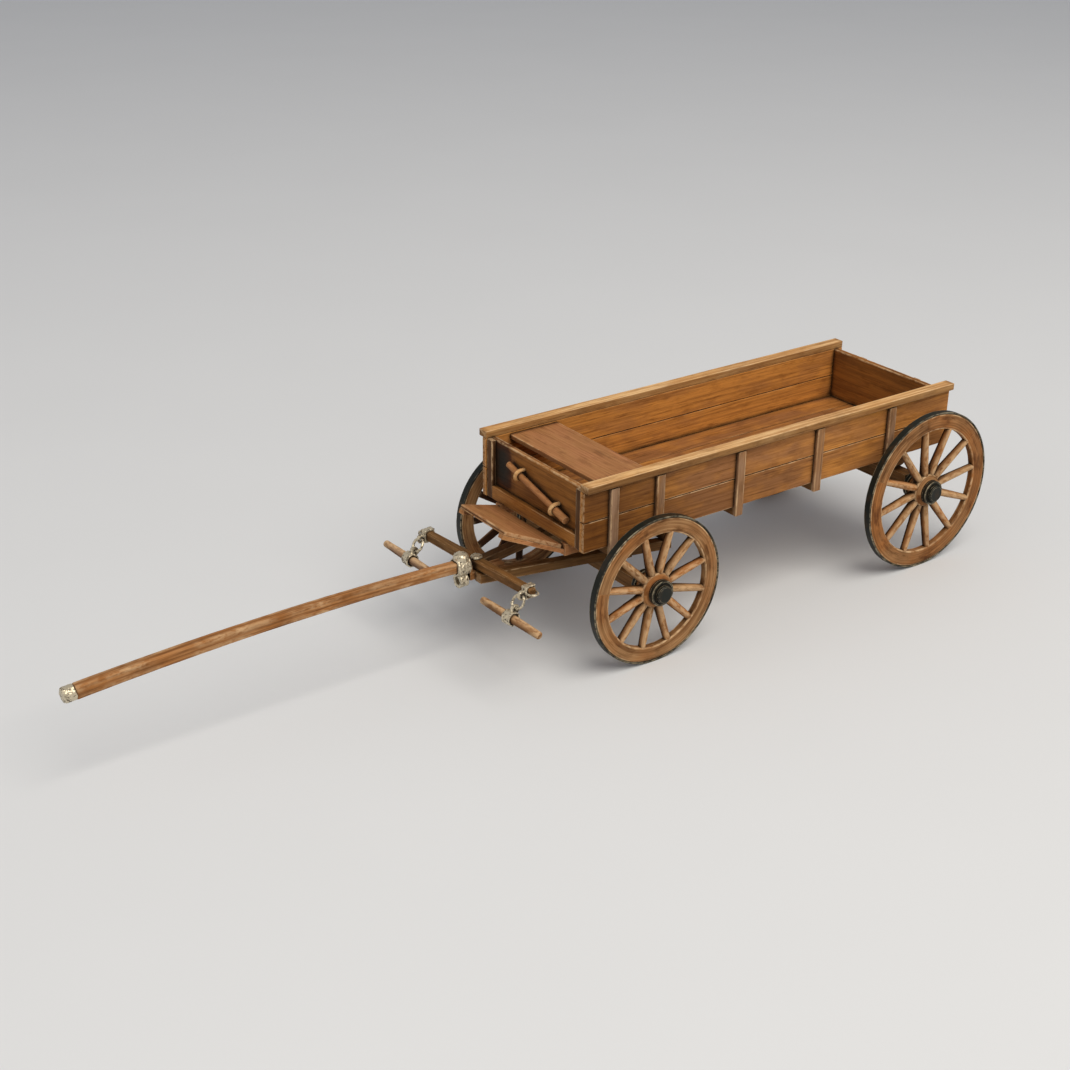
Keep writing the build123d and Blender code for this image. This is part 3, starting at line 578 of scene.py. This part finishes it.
def grain_group():
    """Long streaks, pores, short dark dashes and broad stains along a board."""
    group, entry, leave = group_of(
        "Wood grain",
        (("Place", VECTOR, None), ("Light", COLOUR, None), ("Dark", COLOUR, None),
         ("Warm", COLOUR, None), ("Tint", VALUE, 0.5), ("Streaks", VALUE, 0.7),
         ("Blotches", VALUE, 0.5)),
        (("Colour", COLOUR), ("Rough", VALUE), ("Height", VALUE)),
    )
    place = entry["Place"]
    streak = noise_in(group, place, (0.05, 2.2, 2.2), 4, 0.62)
    pores = noise_in(group, place, (0.3, 9.0, 9.0), 2, 0.5)
    dashes = noise_in(group, place, (0.12, 2.6, 2.6), 2, 0.5)
    stain = noise_in(group, place, (0.1, 0.25, 0.25), 3, 0.55)
    blotches = noise_in(group, place, (0.22, 0.6, 0.6), 4, 0.65)
    swing = math_in(group, "SUBTRACT", ramp_in(group, stain, 0.3, 0.7), 0.5)
    warmth = math_in(group, "ADD", entry["Tint"], swing, True)
    tone = mix_in(group, warmth, entry["Light"], entry["Warm"])
    for marks, low, high, amount, stained, blend in (
        (streak, 0.66, 0.32, entry["Streaks"], entry["Dark"], "MIX"),
        (pores, 0.52, 0.72, 0.4, entry["Dark"], "MIX"),
        (dashes, 0.62, 0.7, 0.55, DASH_TONE, "MULTIPLY"),
        (blotches, 0.48, 0.7, entry["Blotches"], BLOTCH_TONE, "MULTIPLY"),
    ):
        share = math_in(group, "MULTIPLY", ramp_in(group, marks, low, high), amount)
        tone = mix_in(group, share, tone, stained, blend)
    ridges = math_in(group, "MULTIPLY", streak, 0.6)
    relief = math_in(group, "SUBTRACT", ridges, math_in(group, "MULTIPLY", pores, 0.5))
    feed(group, leave, {
        "Colour": tone, "Rough": scaled_in(group, streak, -0.25, 0.8), "Height": relief,
    })
    return group


def wear_group():
    """Where an edge is rubbed pale: the edge mask broken up by noise."""
    group, entry, leave = group_of(
        "Edge wear",
        (("Place", VECTOR, None), ("Edge", VALUE, 0.0), ("Amount", VALUE, 0.5)),
        (("Mask", VALUE),),
    )
    flecks = noise_in(group, entry["Place"], (0.7, 1.6, 1.6), 3, 0.6)
    broken = math_in(group, "MULTIPLY", entry["Edge"], ramp_in(group, flecks, 0.32, 0.6))
    feed(group, leave, {"Mask": math_in(group, "MULTIPLY", broken, entry["Amount"], True)})
    return group


def wash_and_shade_group():
    """Where thin dark paint stays and painted shade falls: corners and joints found by ambient
    occlusion, broken up a little.
    """
    group, entry, leave = group_of(
        "Dark wash",
        (("Place", VECTOR, None), ("Reach", VALUE, 1.5 * MM), ("Amount", VALUE, 0.7)),
        (("Mask", VALUE),),
    )
    # Painted shade: ambient occlusion finds where shade falls in corners and joints, where thin dark
    # paint also lies.
    light = node_in(group, "ShaderNodeAmbientOcclusion", {"Distance": entry["Reach"]}, samples=8)
    closed = math_in(group, "SUBTRACT", 1.0, light.outputs["AO"])
    patch = noise_in(group, entry["Place"], (0.4, 0.8, 0.8), 3, 0.6)
    corners = ramp_in(group, closed, 0.1, 0.6)
    mask = math_in(group, "MULTIPLY", corners, scaled_in(group, patch, 0.9, 0.45))
    feed(group, leave, {"Mask": math_in(group, "MULTIPLY", mask, entry["Amount"], True)})
    return group


def new_material(name):
    """A node material, with its node tree and its shader."""
    material = bpy.data.materials.new(name)
    material.use_nodes = True
    return material, material.node_tree, material.node_tree.nodes["Principled BSDF"]


def placed_group(tree, name, build, links):
    """A node group, built once and found again by name, placed in a material."""
    group = bpy.data.node_groups.get(name) or build()
    return node_in(tree, "ShaderNodeGroup", links, node_tree=group).outputs


def rgba(label):
    """A colour property as the four numbers that a socket takes."""
    return (*getattr(bpy.context.scene.wagon_colours, label), 1.0)


def bumped(tree, height, distance, strength):
    """The normal of a surface that carries a height."""
    links = {"Height": height, "Distance": distance, "Strength": strength}
    return node_in(tree, "ShaderNodeBump", links).outputs[0]


def carried(tree, label, output="Fac"):
    """A value that the mesh carries at its points."""
    return node_in(tree, "ShaderNodeAttribute", attribute_name=label).outputs[output]


def grain_place(tree, turn):
    """The place in the frame, turned so that the grain runs along X."""
    place = node_in(tree, "ShaderNodeTexCoord").outputs["Object"]
    return node_in(tree, "ShaderNodeMapping", {"Vector": place, "Rotation": turn}).outputs[0]


def found_edge(tree):
    """An edge mask for a CAD node, from the way its normal turns nearby."""
    bevel = node_in(tree, "ShaderNodeBevel", {"Radius": 0.2 * MM}, samples=6)
    flat = node_in(tree, "ShaderNodeNewGeometry").outputs["Normal"]
    links = {0: bevel.outputs[0], 1: flat}
    meet = node_in(tree, "ShaderNodeVectorMath", links, operation="DOT_PRODUCT")
    return ramp_in(tree, meet.outputs["Value"], 0.995, 0.86)


def rubbed_mask(tree, place, made, amount):
    """Where the edges are rubbed, on a made piece or on a CAD node."""
    edge = carried(tree, "wear") if made else found_edge(tree)
    links = {"Place": place, "Edge": edge, "Amount": amount}
    return placed_group(tree, "Edge wear", wear_group, links)["Mask"]


def wash_and_shade_mask(tree, place, amount, reach):
    """Where thin dark paint and painted shade darken the corners."""
    links = {"Place": place, "Amount": amount, "Reach": reach}
    return placed_group(tree, "Dark wash", wash_and_shade_group, links)["Mask"]


def wood(name, colours, wear=0.6, wash_and_shade=0.8, reach=1.5 * MM, streaks=0.7, blotches=0.45, turn=None):
    """Stained wood with grain, rubbed edges, and thin dark paint with painted shade in its corners.

    turn is given for a CAD node, which carries no grain of its own. Where a made piece carries a
    shade over 1, it turns black.
    """
    material, tree, shader = new_material(name)
    made = turn is None
    place = carried(tree, "grain", "Vector") if made else grain_place(tree, turn)
    grain = placed_group(tree, "Wood grain", grain_group, {
        "Place": place, "Light": rgba(colours + "_light"), "Dark": rgba(colours + "_dark"),
        "Warm": rgba(colours + "_warm"), "Tint": carried(tree, "tint") if made else 0.5,
        "Streaks": streaks, "Blotches": blotches,
    })
    tone = grain["Colour"]
    if made:
        shade = carried(tree, "shade")
        tone = mix_in(tree, shade, tone, rgba("glaze"), "MULTIPLY")
    tone = mix_in(tree, rubbed_mask(tree, place, made, wear), tone, rgba("bare_edge"))
    if made:
        black = math_in(tree, "SUBTRACT", shade, 1.0, True)
        tone = mix_in(tree, black, tone, rgba("black_paint"))
    # Painted shade and thin dark paint darken the corners.
    feed(tree, shader, {
        "Base Color": mix_in(tree, wash_and_shade_mask(tree, place, wash_and_shade, reach), tone, rgba("dark_wash_and_shade")),
        "Roughness": grain["Rough"], "Specular IOR Level": 0.16,
        "Normal": bumped(tree, grain["Height"], 0.05 * MM, 0.5),
    })
    return material


def black_iron(name, made):
    """Black paint, rubbed through to iron on its edges, with brown dust in places."""
    material, tree, shader = new_material(name)
    place = grain_place(tree, AHEAD)
    rubbed = rubbed_mask(tree, place, made, 0.85)
    dust = ramp_in(tree, noise_in(tree, place, (0.55, 0.55, 0.55), 4, 0.6), 0.48, 0.75)
    tone = mix_in(tree, math_in(tree, "MULTIPLY", dust, 0.35), rgba("black_paint"), rgba("gear_dark"))
    grit = noise_in(tree, place, (4, 4, 4), 3, 0.6)
    feed(tree, shader, {
        "Base Color": mix_in(tree, rubbed, tone, rgba("rubbed_iron")),
        "Roughness": scaled_in(tree, grit, 0.3, 0.3),
        "Metallic": math_in(tree, "MULTIPLY", rubbed, 0.3), "Specular IOR Level": 0.2,
        "Normal": bumped(tree, grit, 0.04 * MM, 0.4),
    })
    return material


def bright_iron(name, tarnish_from):
    """Bright metal under patches of tarnish, which lie where their noise is over tarnish_from."""
    material, tree, shader = new_material(name)
    place = grain_place(tree, AHEAD)
    # Painted shade and thin dark paint darken the corners of the fittings, which lose their shine there.
    washed_and_shaded = wash_and_shade_mask(tree, place, 0.9, 0.8 * MM)
    speckle = noise_in(tree, place, (1.9, 1.9, 1.9), 4, 0.65)
    tarnish = ramp_in(tree, speckle, tarnish_from, tarnish_from + 0.14)
    tone = mix_in(tree, tarnish, rgba("bright_metal"), rgba("tarnish"))
    clean = math_in(tree, "SUBTRACT", 1.0, math_in(tree, "MAXIMUM", tarnish, washed_and_shaded))
    lumps = noise_in(tree, place, (2.2, 2.2, 2.2), 3, 0.6)
    feed(tree, shader, {
        "Base Color": mix_in(tree, washed_and_shaded, tone, rgba("dark_wash_and_shade")),
        "Metallic": math_in(tree, "MULTIPLY", clean, 0.7),
        "Roughness": scaled_in(tree, tarnish, 0.3, 0.3),
        "Normal": bumped(tree, lumps, 0.1 * MM, 0.6),
    })
    return material


def dress_node(node, material):
    """Give a CAD node, whose shape stays, a finished material."""
    slots = frame["nodes"][node].data.materials
    slots.clear()
    slots.append(material)


def boards_of(node, along, material, **looks):
    """Make one piece with a board for each solid of a CAD node."""
    shape = Shape()
    rng = seed_of(node)
    for corners in solids(node):
        board(shape, corners if len(corners) == 8 else box_corners(corners), along, rng, **looks)
    shape.make(node, material)


def cast_copy(node, material, voxel=0.09 * MM, grit=0.55 * MM):
    """Make a lumpy copy of a CAD node, as if cast or hammered."""
    source = bpy.data.objects.new("cast_source", frame["nodes"][node].data)
    bpy.context.scene.collection.objects.link(source)
    remesh = source.modifiers.new("even mesh", "REMESH")
    remesh.mode = "VOXEL"
    remesh.voxel_size = voxel
    graph = bpy.context.evaluated_depsgraph_get()
    mesh = bpy.data.meshes.new_from_object(source.evaluated_get(graph))
    bpy.data.objects.remove(source)
    mesh.name = "look_" + node
    hammer = bpy.context.scene.wagon_sizes.hammer
    low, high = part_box(node)
    normals = [vertex.normal.copy() for vertex in mesh.vertices]
    for vertex, normal in zip(mesh.vertices, normals):
        lump = noise.noise(vertex.co / grit) + 0.5 * noise.noise(vertex.co / (0.45 * grit))
        vertex.co = np.clip(vertex.co + normal * hammer * lump, low, high)
    mesh.shade_smooth()
    mesh.materials.clear()
    mesh.materials.append(material)
    stand_for(bpy.data.objects.new("look_" + node, mesh), node)


# Stains: each gives the tint, shade and share of wear at points, from their places in mm.
def side_tone(points):
    """Stain on the box sides: orange inside, and outside darker towards the front."""
    x = points[..., 0] / MM
    middle = (np.abs(points[..., 1]).min() + np.abs(points[..., 1]).max()) / 2
    inside = np.abs(points[..., 1]) < middle
    low = points[..., 2].max() < LOWER_BOARD_TOP
    tint = np.interp(x, (-85, -62, -45, -22, -12, 3), (0.9, 0.8, 0.15, 0.15, 0.7, 1.0))
    shade = np.interp(x, (-85, -60, -45, -22, -12, -4, 3), (0.05, 0.0, 0.05, 0.15, 0.4, 0.66, 0.78))
    if low:
        shade = shade + np.interp(x, (-60, -40, -20, -8), (0.12, 0.24, 0.2, 0.03))
    return np.where(inside, 0.95, tint), np.where(inside, 0.0, shade), np.where(inside, 0.3, 1.0)


def rail_tone(points):
    """Pale top, with the faces and ends below it stained as the boards are."""
    depth = (points[..., 2].max() - points[..., 2]) / MM
    x, across = points[..., 0] / MM, np.abs(points[..., 1])
    end = np.minimum(x.max() - x, x - x.min())
    outside = across > (across.min() + across.max()) / 2
    stain = np.interp(x, (-85, -60, -45, -12, 3), (0.45, 0.52, 0.64, 0.76, 0.86))
    shade = np.where(outside, stain, 0.42) * np.interp(depth, (0.08, 0.2), (0.0, 1.0))
    shade = np.maximum(shade, np.interp(end, (0.05, 0.3), (0.5, 0.0)))
    return 0.3 + 0.7 * (shade > 0.2), shade, 1 - 0.9 * (depth > 0.2)


def front_tone(points):
    """Dark stain on the front board, with a near-black patch towards its right end."""
    y, z = points[..., 1] / MM, points[..., 2] / MM
    black = np.interp(y, (-13.5, -12, -9.5, -7.5), (0.6, 0.85, 0.85, 0.0))
    black = black * np.interp(z, (25, 27, 32, 33.6), (0.2, 1, 1, 0.3))
    return 1.0, 0.6 + 1.5 * black, 1.0


def post_tone(points):
    """The two front posts differ: the left one is greyer."""
    return np.where(points[..., 1] > 0, 0.3, 0.9), 0.8, 1.0


def even_tone(tint, shade):
    """A stain that is the same all over a board."""
    return lambda points: (tint, shade, 1.0)


def foot_tone(points):
    """Greyer stain on the footboard, darker towards its back, and a dark seam along its edges."""
    place = points - points.mean(axis=(0, 1))
    thin_way = np.linalg.svd(place.reshape(-1, 3), full_matrices=False)[2][2]
    depth = np.abs(place @ thin_way)
    shade = np.interp(points[..., 0] / MM, (4, 8, 14), (0.5, 0.25, 0.1))
    return 0.7, np.where(depth < 0.3 * depth.max(), 0.98, shade), 1.0


class WAGON_OT_box(bpy.types.Operator):
    """Boards of the box: sides, floor, the two ends and the front sill"""

    bl_idname = "wagon.box"
    bl_label = "Box boards"

    def execute(self, context):
        stained = wood("Box wood", "side", wash_and_shade=1.0, streaks=0.55, blotches=0.4)
        for node in ("side_left_boards", "side_right_boards"):
            boards_of(node, X_AXIS, stained, edge=0.1 * MM, rub=0.7, tone=side_tone)
        boards_of("floor_boards", X_AXIS, stained, edge=0.07 * MM, rub=0.05, tone=even_tone(0.35, 0.15))
        boards_of("front_board", Y_AXIS, stained, edge=0.16 * MM, rub=1.0, tone=front_tone)
        boards_of("front_sill", Y_AXIS, stained, rub=0.3, tone=even_tone(1.0, 0.36))
        boards_of("tailgate_board", Y_AXIS, stained, edge=0.16 * MM, rub=0.9, tone=even_tone(1.0, 0.6))
        return {"FINISHED"}


class WAGON_OT_trim(bpy.types.Operator):
    """Top rails, cleats, posts and battens"""

    bl_idname = "wagon.trim"
    bl_label = "Rails and cleats"

    def execute(self, context):
        rails = wood("Rail wood", "rail", wear=0.7, wash_and_shade=0.7, streaks=0.85)
        for node in ("rail_left", "rail_right"):
            boards_of(node, X_AXIS, rails, edge=0.08 * MM, dents=0.3, rub=0.7, tone=rail_tone)
        cleats = wood("Cleat wood", "cleat", wear=0.7, wash_and_shade=0.85, streaks=0.6)
        boards_of("side_cleats", Z_AXIS, cleats, edge=0.15 * MM, rub=0.6)
        boards_of("tailgate_battens", Z_AXIS, cleats)
        boards_of("front_posts", Z_AXIS, cleats, edge=0.15 * MM, rub=0.6, tone=post_tone)
        return {"FINISHED"}


class WAGON_OT_seat(bpy.types.Operator):
    """Seat board, its bearers, footboard and arms"""

    bl_idname = "wagon.seat"
    bl_label = "Seat and footboard"

    def execute(self, context):
        seat = wood("Bench wood", "seat", wash_and_shade=0.95, streaks=0.55)
        boards_of("seat_board", Y_AXIS, seat, rub=0.4)
        boards_of("seat_bearers", X_AXIS, seat)
        boards_of("footboard", Y_AXIS, seat, edge=0.12 * MM, dents=0.05, rub=0.55, tone=foot_tone)
        dress_node("footboard_arms", wood("Footboard arm wood", "seat", turn=AHEAD))
        return {"FINISHED"}


class WAGON_OT_gear(bpy.types.Operator):
    """Sills, bolsters, axle beams, reach, hounds and sway bar"""

    bl_idname = "wagon.gear"
    bl_label = "Running gear"

    def execute(self, context):
        # The gear colours carry painted shade for the shade under the box.
        gear = wood("Gear wood", "gear", wear=0.4)
        for node in ("cross_sills", "sway_bar"):
            boards_of(node, Y_AXIS, gear)
        for node in ("front_hounds", "rear_hounds"):
            boards_of(node, X_AXIS, gear)
        across = wood("Gear wood across", "gear", wear=0.45, turn=ACROSS)
        for node in ("front_bolster", "rear_bolster", "front_axle_beam", "rear_axle_beam", "sand_board"):
            dress_node(node, across)
        dress_node("reach", wood("Gear wood ahead", "gear", wear=0.45, turn=AHEAD))
        return {"FINISHED"}


class WAGON_OT_pole(bpy.types.Operator):
    """Pole, evener, singletrees and the rod on the front end"""

    bl_idname = "wagon.pole"
    bl_label = "Pole and draught bars"

    def execute(self, context):
        self.bowed_pole(wood("Pole wood", "pole", wash_and_shade=0.7, streaks=0.9))
        # The evener takes the gear colours, with their painted shade.
        dress_node("evener", wood("Evener wood", "gear", turn=ACROSS))
        bars = wood("Bar wood", "cleat", wear=0.75, streaks=0.8)
        for node in ("singletree_left", "singletree_right"):
            corners = solids(node)[0]
            ends = corners[np.argsort(corners[:, 1])]
            low, high = ends[:SINGLETREE_CORNERS].mean(0), ends[-SINGLETREE_CORNERS:].mean(0)
            low[2] = high[2] = (corners[:, 2].min() + corners[:, 2].max()) / 2
            shape = Shape()
            # The undersides of the singletrees are darkened as painted shade as well as stained.
            round_bar(
                shape, low, high, SINGLETREE_RADII, seed_of(node), wear=0.9, flank_shade=0.6, pale=1.8 * MM
            )
            shape.make(node, bars)
        dress_node("rod", wood("Rod wood", "seat", turn=ACROSS))
        return {"FINISHED"}

    def bowed_pole(self, material):
        """The bowed pole, a little slimmer towards its butt, and the tenon behind it."""
        points = solids("pole")[0]
        low = points[:, 2].min()
        tenon = points[points[:, 2] < low + TOUCH]
        back, front = tenon[:, 0].min(), tenon[:, 0].max()
        bar = points[points[:, 0] > front + 0.1 * MM]
        curve = np.polyfit(bar[:, 0], bar[:, 2], 2)
        tip = bar[:, 0].max()
        end = points[points[:, 0] > tip - 0.2 * MM]
        half_y = end[:, 1].max()
        half_z = (end[:, 2].max() - end[:, 2].min()) / 2
        butt = points[points[:, 2] > low + 3 * half_z][:, 0].min()
        rng = seed_of("pole")
        shape = Shape()
        ends = np.array([
            (x, y * half_y * slim, z * half_z * slim)
            for x, slim in ((butt, BUTT_SHARE), (tip, 1.0)) for y in (-1, 1) for z in (-1, 1)
        ])

        def bow(place):
            place[..., 2] += np.polyval(curve, place[..., 0])
            return place

        board(shape, ends, X_AXIS, rng, edge=0.4 * MM, dents=0.06, rub=0.4, bend=bow)
        behind = points[points[:, 0] < back + TOUCH]
        for begin, top in ((back, behind[:, 2].max()), (butt, np.polyval(curve, butt))):
            corners = box_corners(np.array((
                (begin, behind[:, 1].min(), low), (front, behind[:, 1].max(), top),
            )))
            board(shape, corners, X_AXIS, rng)
        shape.make("pole", material)


class WAGON_OT_irons(bpy.types.Operator):
    """Axle arms, bolts, staples, collar, ferrule, clips and hangers"""

    bl_idname = "wagon.irons"
    bl_label = "Irons"

    def execute(self, context):
        fittings = black_iron("Black iron fittings", False)
        for node in ("front_axle_arms", "rear_axle_arms", "king_bolt"):
            dress_node(node, fittings)
        dress_node("rod_staples", wood("Staple paint", "rail", wear=0.9, wash_and_shade=0.6, turn=AHEAD))
        bright, dull = bright_iron("Bright iron", 0.51), bright_iron("Dull iron", 0.49)
        for node in ("pole_ferrule", "pole_collar", "evener_bolt"):
            cast_copy(node, bright)
        for node in ("evener_clips", "singletree_left_hanger", "singletree_right_hanger"):
            cast_copy(node, dull)
        return {"FINISHED"}


def hub_outline(radius, height):
    """The corners of a hub's section, from the bore at its back to the bore at its nose."""
    bore, low, high = radius.min(), height.min(), height.max()
    outline = [(bore, low), (radius[height < low + TOUCH].max(), low)]
    for place in sorted(set(np.round(height / MM, 3))):
        if low / MM < place < high / MM:
            outline.append((radius[np.abs(height / MM - place) < 0.002].max(), place * MM))
    return outline + [(radius[height > high - TOUCH].max(), high), (bore, high)]


class WAGON_OT_wheels(bpy.types.Operator):
    """Four spoked wheels with their hubs, bands, felloes and tyres"""

    bl_idname = "wagon.wheels"
    bl_label = "Wheels"

    def execute(self, context):
        painted = wood(
            "Wheel wood", "wheel", wear=0.8, wash_and_shade=1.0, reach=2.4 * MM, streaks=0.8, blotches=0.95
        )
        iron = black_iron("Black iron", True)
        for name in WHEELS:
            joint = next(j for j in frame["joints"] if j["child"] == name)
            centre = np.array(joint["pos_m"])
            self.rim(name, centre, painted, iron, context.scene.wagon_sizes)
            self.spokes(name, centre, painted)
            self.hub(name, centre, painted, iron)
        return {"FINISHED"}

    def rim(self, name, centre, painted, iron, sizes):
        """Felloes and tyre."""
        rng = seed_of(name)
        shade, warm = RIM_LOOKS["rear" if "rear" in name else "front"]
        for part, edge, joints, rub, material in (
            ("_felloe", sizes.rim_round, FELLOE_COUNT, 0.65, painted),
            ("_tyre", TYRE_ROUND, 0, 0.5, iron),
        ):
            profile, wear = ring_profile(solids(name + part)[0] - centre, edge)
            shape = Shape()
            turned(
                shape, centre, profile, wear, rng, joints, sizes.joint_groove, rub=rub,
                shade=shade, stain=0.16, warm=warm,
            )
            shape.make(name + part, material)

    def spokes(self, name, centre, painted):
        """Round spokes, rubbed pale in front and darker on the flanks, partly stain and partly painted
        shade.
        """
        rng = seed_of(name + "_spokes")
        out = np.sign(centre[1]) * Y_AXIS
        shape = Shape()
        for spoke in solids(name + "_spokes"):
            radius = axle_distance(spoke - centre)
            foot = spoke[radius < radius.min() + 0.5 * MM].mean(0)
            tip = spoke[radius > radius.max() - 0.3 * MM].mean(0)
            along = (tip - foot) / np.linalg.norm(tip - foot)
            round_bar(
                shape, foot - along * 0.3 * MM, tip + along * 0.2 * MM, SPOKE_RADII, rng,
                flat=1.12, front=out, tip=0.05, wear=0.65, flank_shade=1.2,
            )
        shape.make(name + "_spokes", painted)

    def hub(self, name, centre, painted, iron):
        """Turned hub with a rubbed flange and a blackened nose, and its two bands."""
        rng = seed_of(name + "_hub")
        out = np.sign(centre[1])
        points = solids(name + "_hub")[0] - centre
        radius, height = axle_distance(points), out * points[:, 1]
        flange = radius.max() - TOUCH
        rim = height[radius > flange]
        nose = rim.max() + NOSE_SHARE * (height.max() - rim.max()) - NOSE_LEAD
        profile, wear, shade = [], [], []
        for r, h in hub_outline(radius, height):
            edge = r > flange
            steps = FLANGE_STEPS if edge else ((0.0, 0.0),)
            inward = 1 if h < rim.mean() else -1
            for back, drop in steps if inward > 0 else reversed(steps):
                profile.append((r - back * MM, h + inward * drop * MM))
                wear.append(float(edge))
                shade.append(2.0 if h > nose and not edge else 0.15)
        shape = Shape()
        turned(
            shape, centre, np.array(profile), np.array(wear), rng, count=HUB_STEPS, rub=0.75,
            shade=np.array(shade)[None], out=out,
        )
        shape.make(name + "_hub", painted)
        shape = Shape()
        for band in solids(name + "_hub_bands"):
            profile, wear = ring_profile(band - centre, BAND_ROUND)
            turned(shape, centre, profile, wear, rng, count=HUB_STEPS, rub=0.95)
        shape.make(name + "_hub_bands", iron)


class WAGON_OT_stage(bpy.types.Operator):
    """Pale floor, soft lights and the camera"""

    bl_idname = "wagon.stage"
    bl_label = "Stage"

    def execute(self, context):
        self.lay_floor(context.scene)
        self.hang_lights(context.scene)
        self.place_camera(context.scene)
        context.scene.view_settings.view_transform = "Standard"
        return {"FINISHED"}

    def lay_floor(self, scene):
        """A wide pale floor under the wagon."""
        half = 4.0
        mesh = bpy.data.meshes.new("floor")
        corners = [(-half, -half, 0), (half, -half, 0), (half, half, 0), (-half, half, 0)]
        mesh.from_pydata(corners, [], [(0, 1, 2, 3)])
        material, tree, shader = new_material("Pale floor")
        cloud = noise_in(tree, grain_place(tree, AHEAD), (0.02, 0.02, 0.02), 3, 0.5)
        pale = rgba("floor")
        shaded = (*(0.97 * c for c in pale[:3]), 1.0)
        feed(tree, shader, {"Base Color": mix_in(tree, cloud, shaded, pale), "Roughness": 0.85})
        mesh.materials.append(material)
        floor = bpy.data.objects.new("floor", mesh)
        scene.collection.objects.link(floor)

    def hang_lights(self, scene):
        """One large soft light to the left above, a weak fill in front and an even room light."""
        stage = scene.wagon_stage
        aim = Vector((0, 0, 0.02))
        for name, at, size, power, warmth in (
            ("key_light", (-0.05, 0.45, 0.7), 0.7, stage.key_power, (1.0, 0.93, 0.82)),
            ("fill_light", (0.7, -0.1, 0.4), 0.6, stage.fill_power, (1.0, 0.95, 0.88)),
        ):
            lamp = bpy.data.lights.new(name, "AREA")
            lamp.energy = power
            lamp.color = warmth
            lamp.size = size
            light = bpy.data.objects.new(name, lamp)
            light.location = at
            light.rotation_euler = (aim - Vector(at)).to_track_quat("-Z", "Y").to_euler()
            scene.collection.objects.link(light)
        world = bpy.data.worlds.new("room")
        world.use_nodes = True
        backdrop = world.node_tree.nodes["Background"]
        backdrop.inputs["Color"].default_value = (0.98, 0.98, 1.0, 1)
        backdrop.inputs["Strength"].default_value = stage.sky
        scene.world = world

    def place_camera(self, scene):
        """The camera, looking at the wagon from its left front."""
        stage = scene.wagon_stage
        pitch, yaw, roll = stage.camera_pitch, stage.camera_yaw, stage.camera_roll
        ahead = Vector((cos(pitch) * cos(yaw), cos(pitch) * sin(yaw), sin(pitch)))
        right = ahead.cross(Vector((0, 0, 1))).normalized()
        up = right.cross(ahead)
        across = cos(roll) * right + sin(roll) * up
        upward = cos(roll) * up - sin(roll) * right
        lens = bpy.data.cameras.new("camera")
        lens.lens = stage.lens
        lens.clip_start = 0.01
        camera = bpy.data.objects.new("camera", lens)
        turn = Matrix((across, upward, -ahead)).transposed().to_4x4()
        camera.matrix_world = Matrix.Translation(stage.camera_at) @ turn
        scene.collection.objects.link(camera)
        scene.camera = camera


class WAGON_PT_panel(bpy.types.Panel):
    """Lists the steps that dress the wagon"""

    bl_idname = "WAGON_PT_panel"
    bl_label = "Farm wagon model"
    bl_space_type = "VIEW_3D"
    bl_region_type = "UI"
    bl_category = "Wagon"

    def draw(self, context):
        for operator in OPERATORS:
            self.layout.operator(operator.bl_idname)
        for label, group in GROUPS:
            for field in group.__annotations__:
                self.layout.prop(getattr(context.scene, label), field)


OPERATORS = (
    WAGON_OT_box, WAGON_OT_trim, WAGON_OT_seat, WAGON_OT_gear, WAGON_OT_pole, WAGON_OT_irons,
    WAGON_OT_wheels, WAGON_OT_stage,
)
GROUPS = (("wagon_colours", WagonColours), ("wagon_sizes", WagonSizes), ("wagon_stage", WagonStage))


def register():
    """Register the property groups, the operators and the panel."""
    for label, group in GROUPS:
        bpy.utils.register_class(group)
        setattr(bpy.types.Scene, label, bpy.props.PointerProperty(type=group))
    for item in (*OPERATORS, WAGON_PT_panel):
        bpy.utils.register_class(item)


def unregister():
    """Take the panel, the operators and the property groups off again."""
    for item in (WAGON_PT_panel, *reversed(OPERATORS)):
        bpy.utils.unregister_class(item)
    for label, group in reversed(GROUPS):
        delattr(bpy.types.Scene, label)
        bpy.utils.unregister_class(group)


def main():
    """Dress the whole wagon."""
    register()
    bpy.ops.wagon.box()
    bpy.ops.wagon.trim()
    bpy.ops.wagon.seat()
    bpy.ops.wagon.gear()
    bpy.ops.wagon.pole()
    bpy.ops.wagon.irons()
    bpy.ops.wagon.wheels()
    bpy.ops.wagon.stage()


if __name__ == "__main__":
    main()
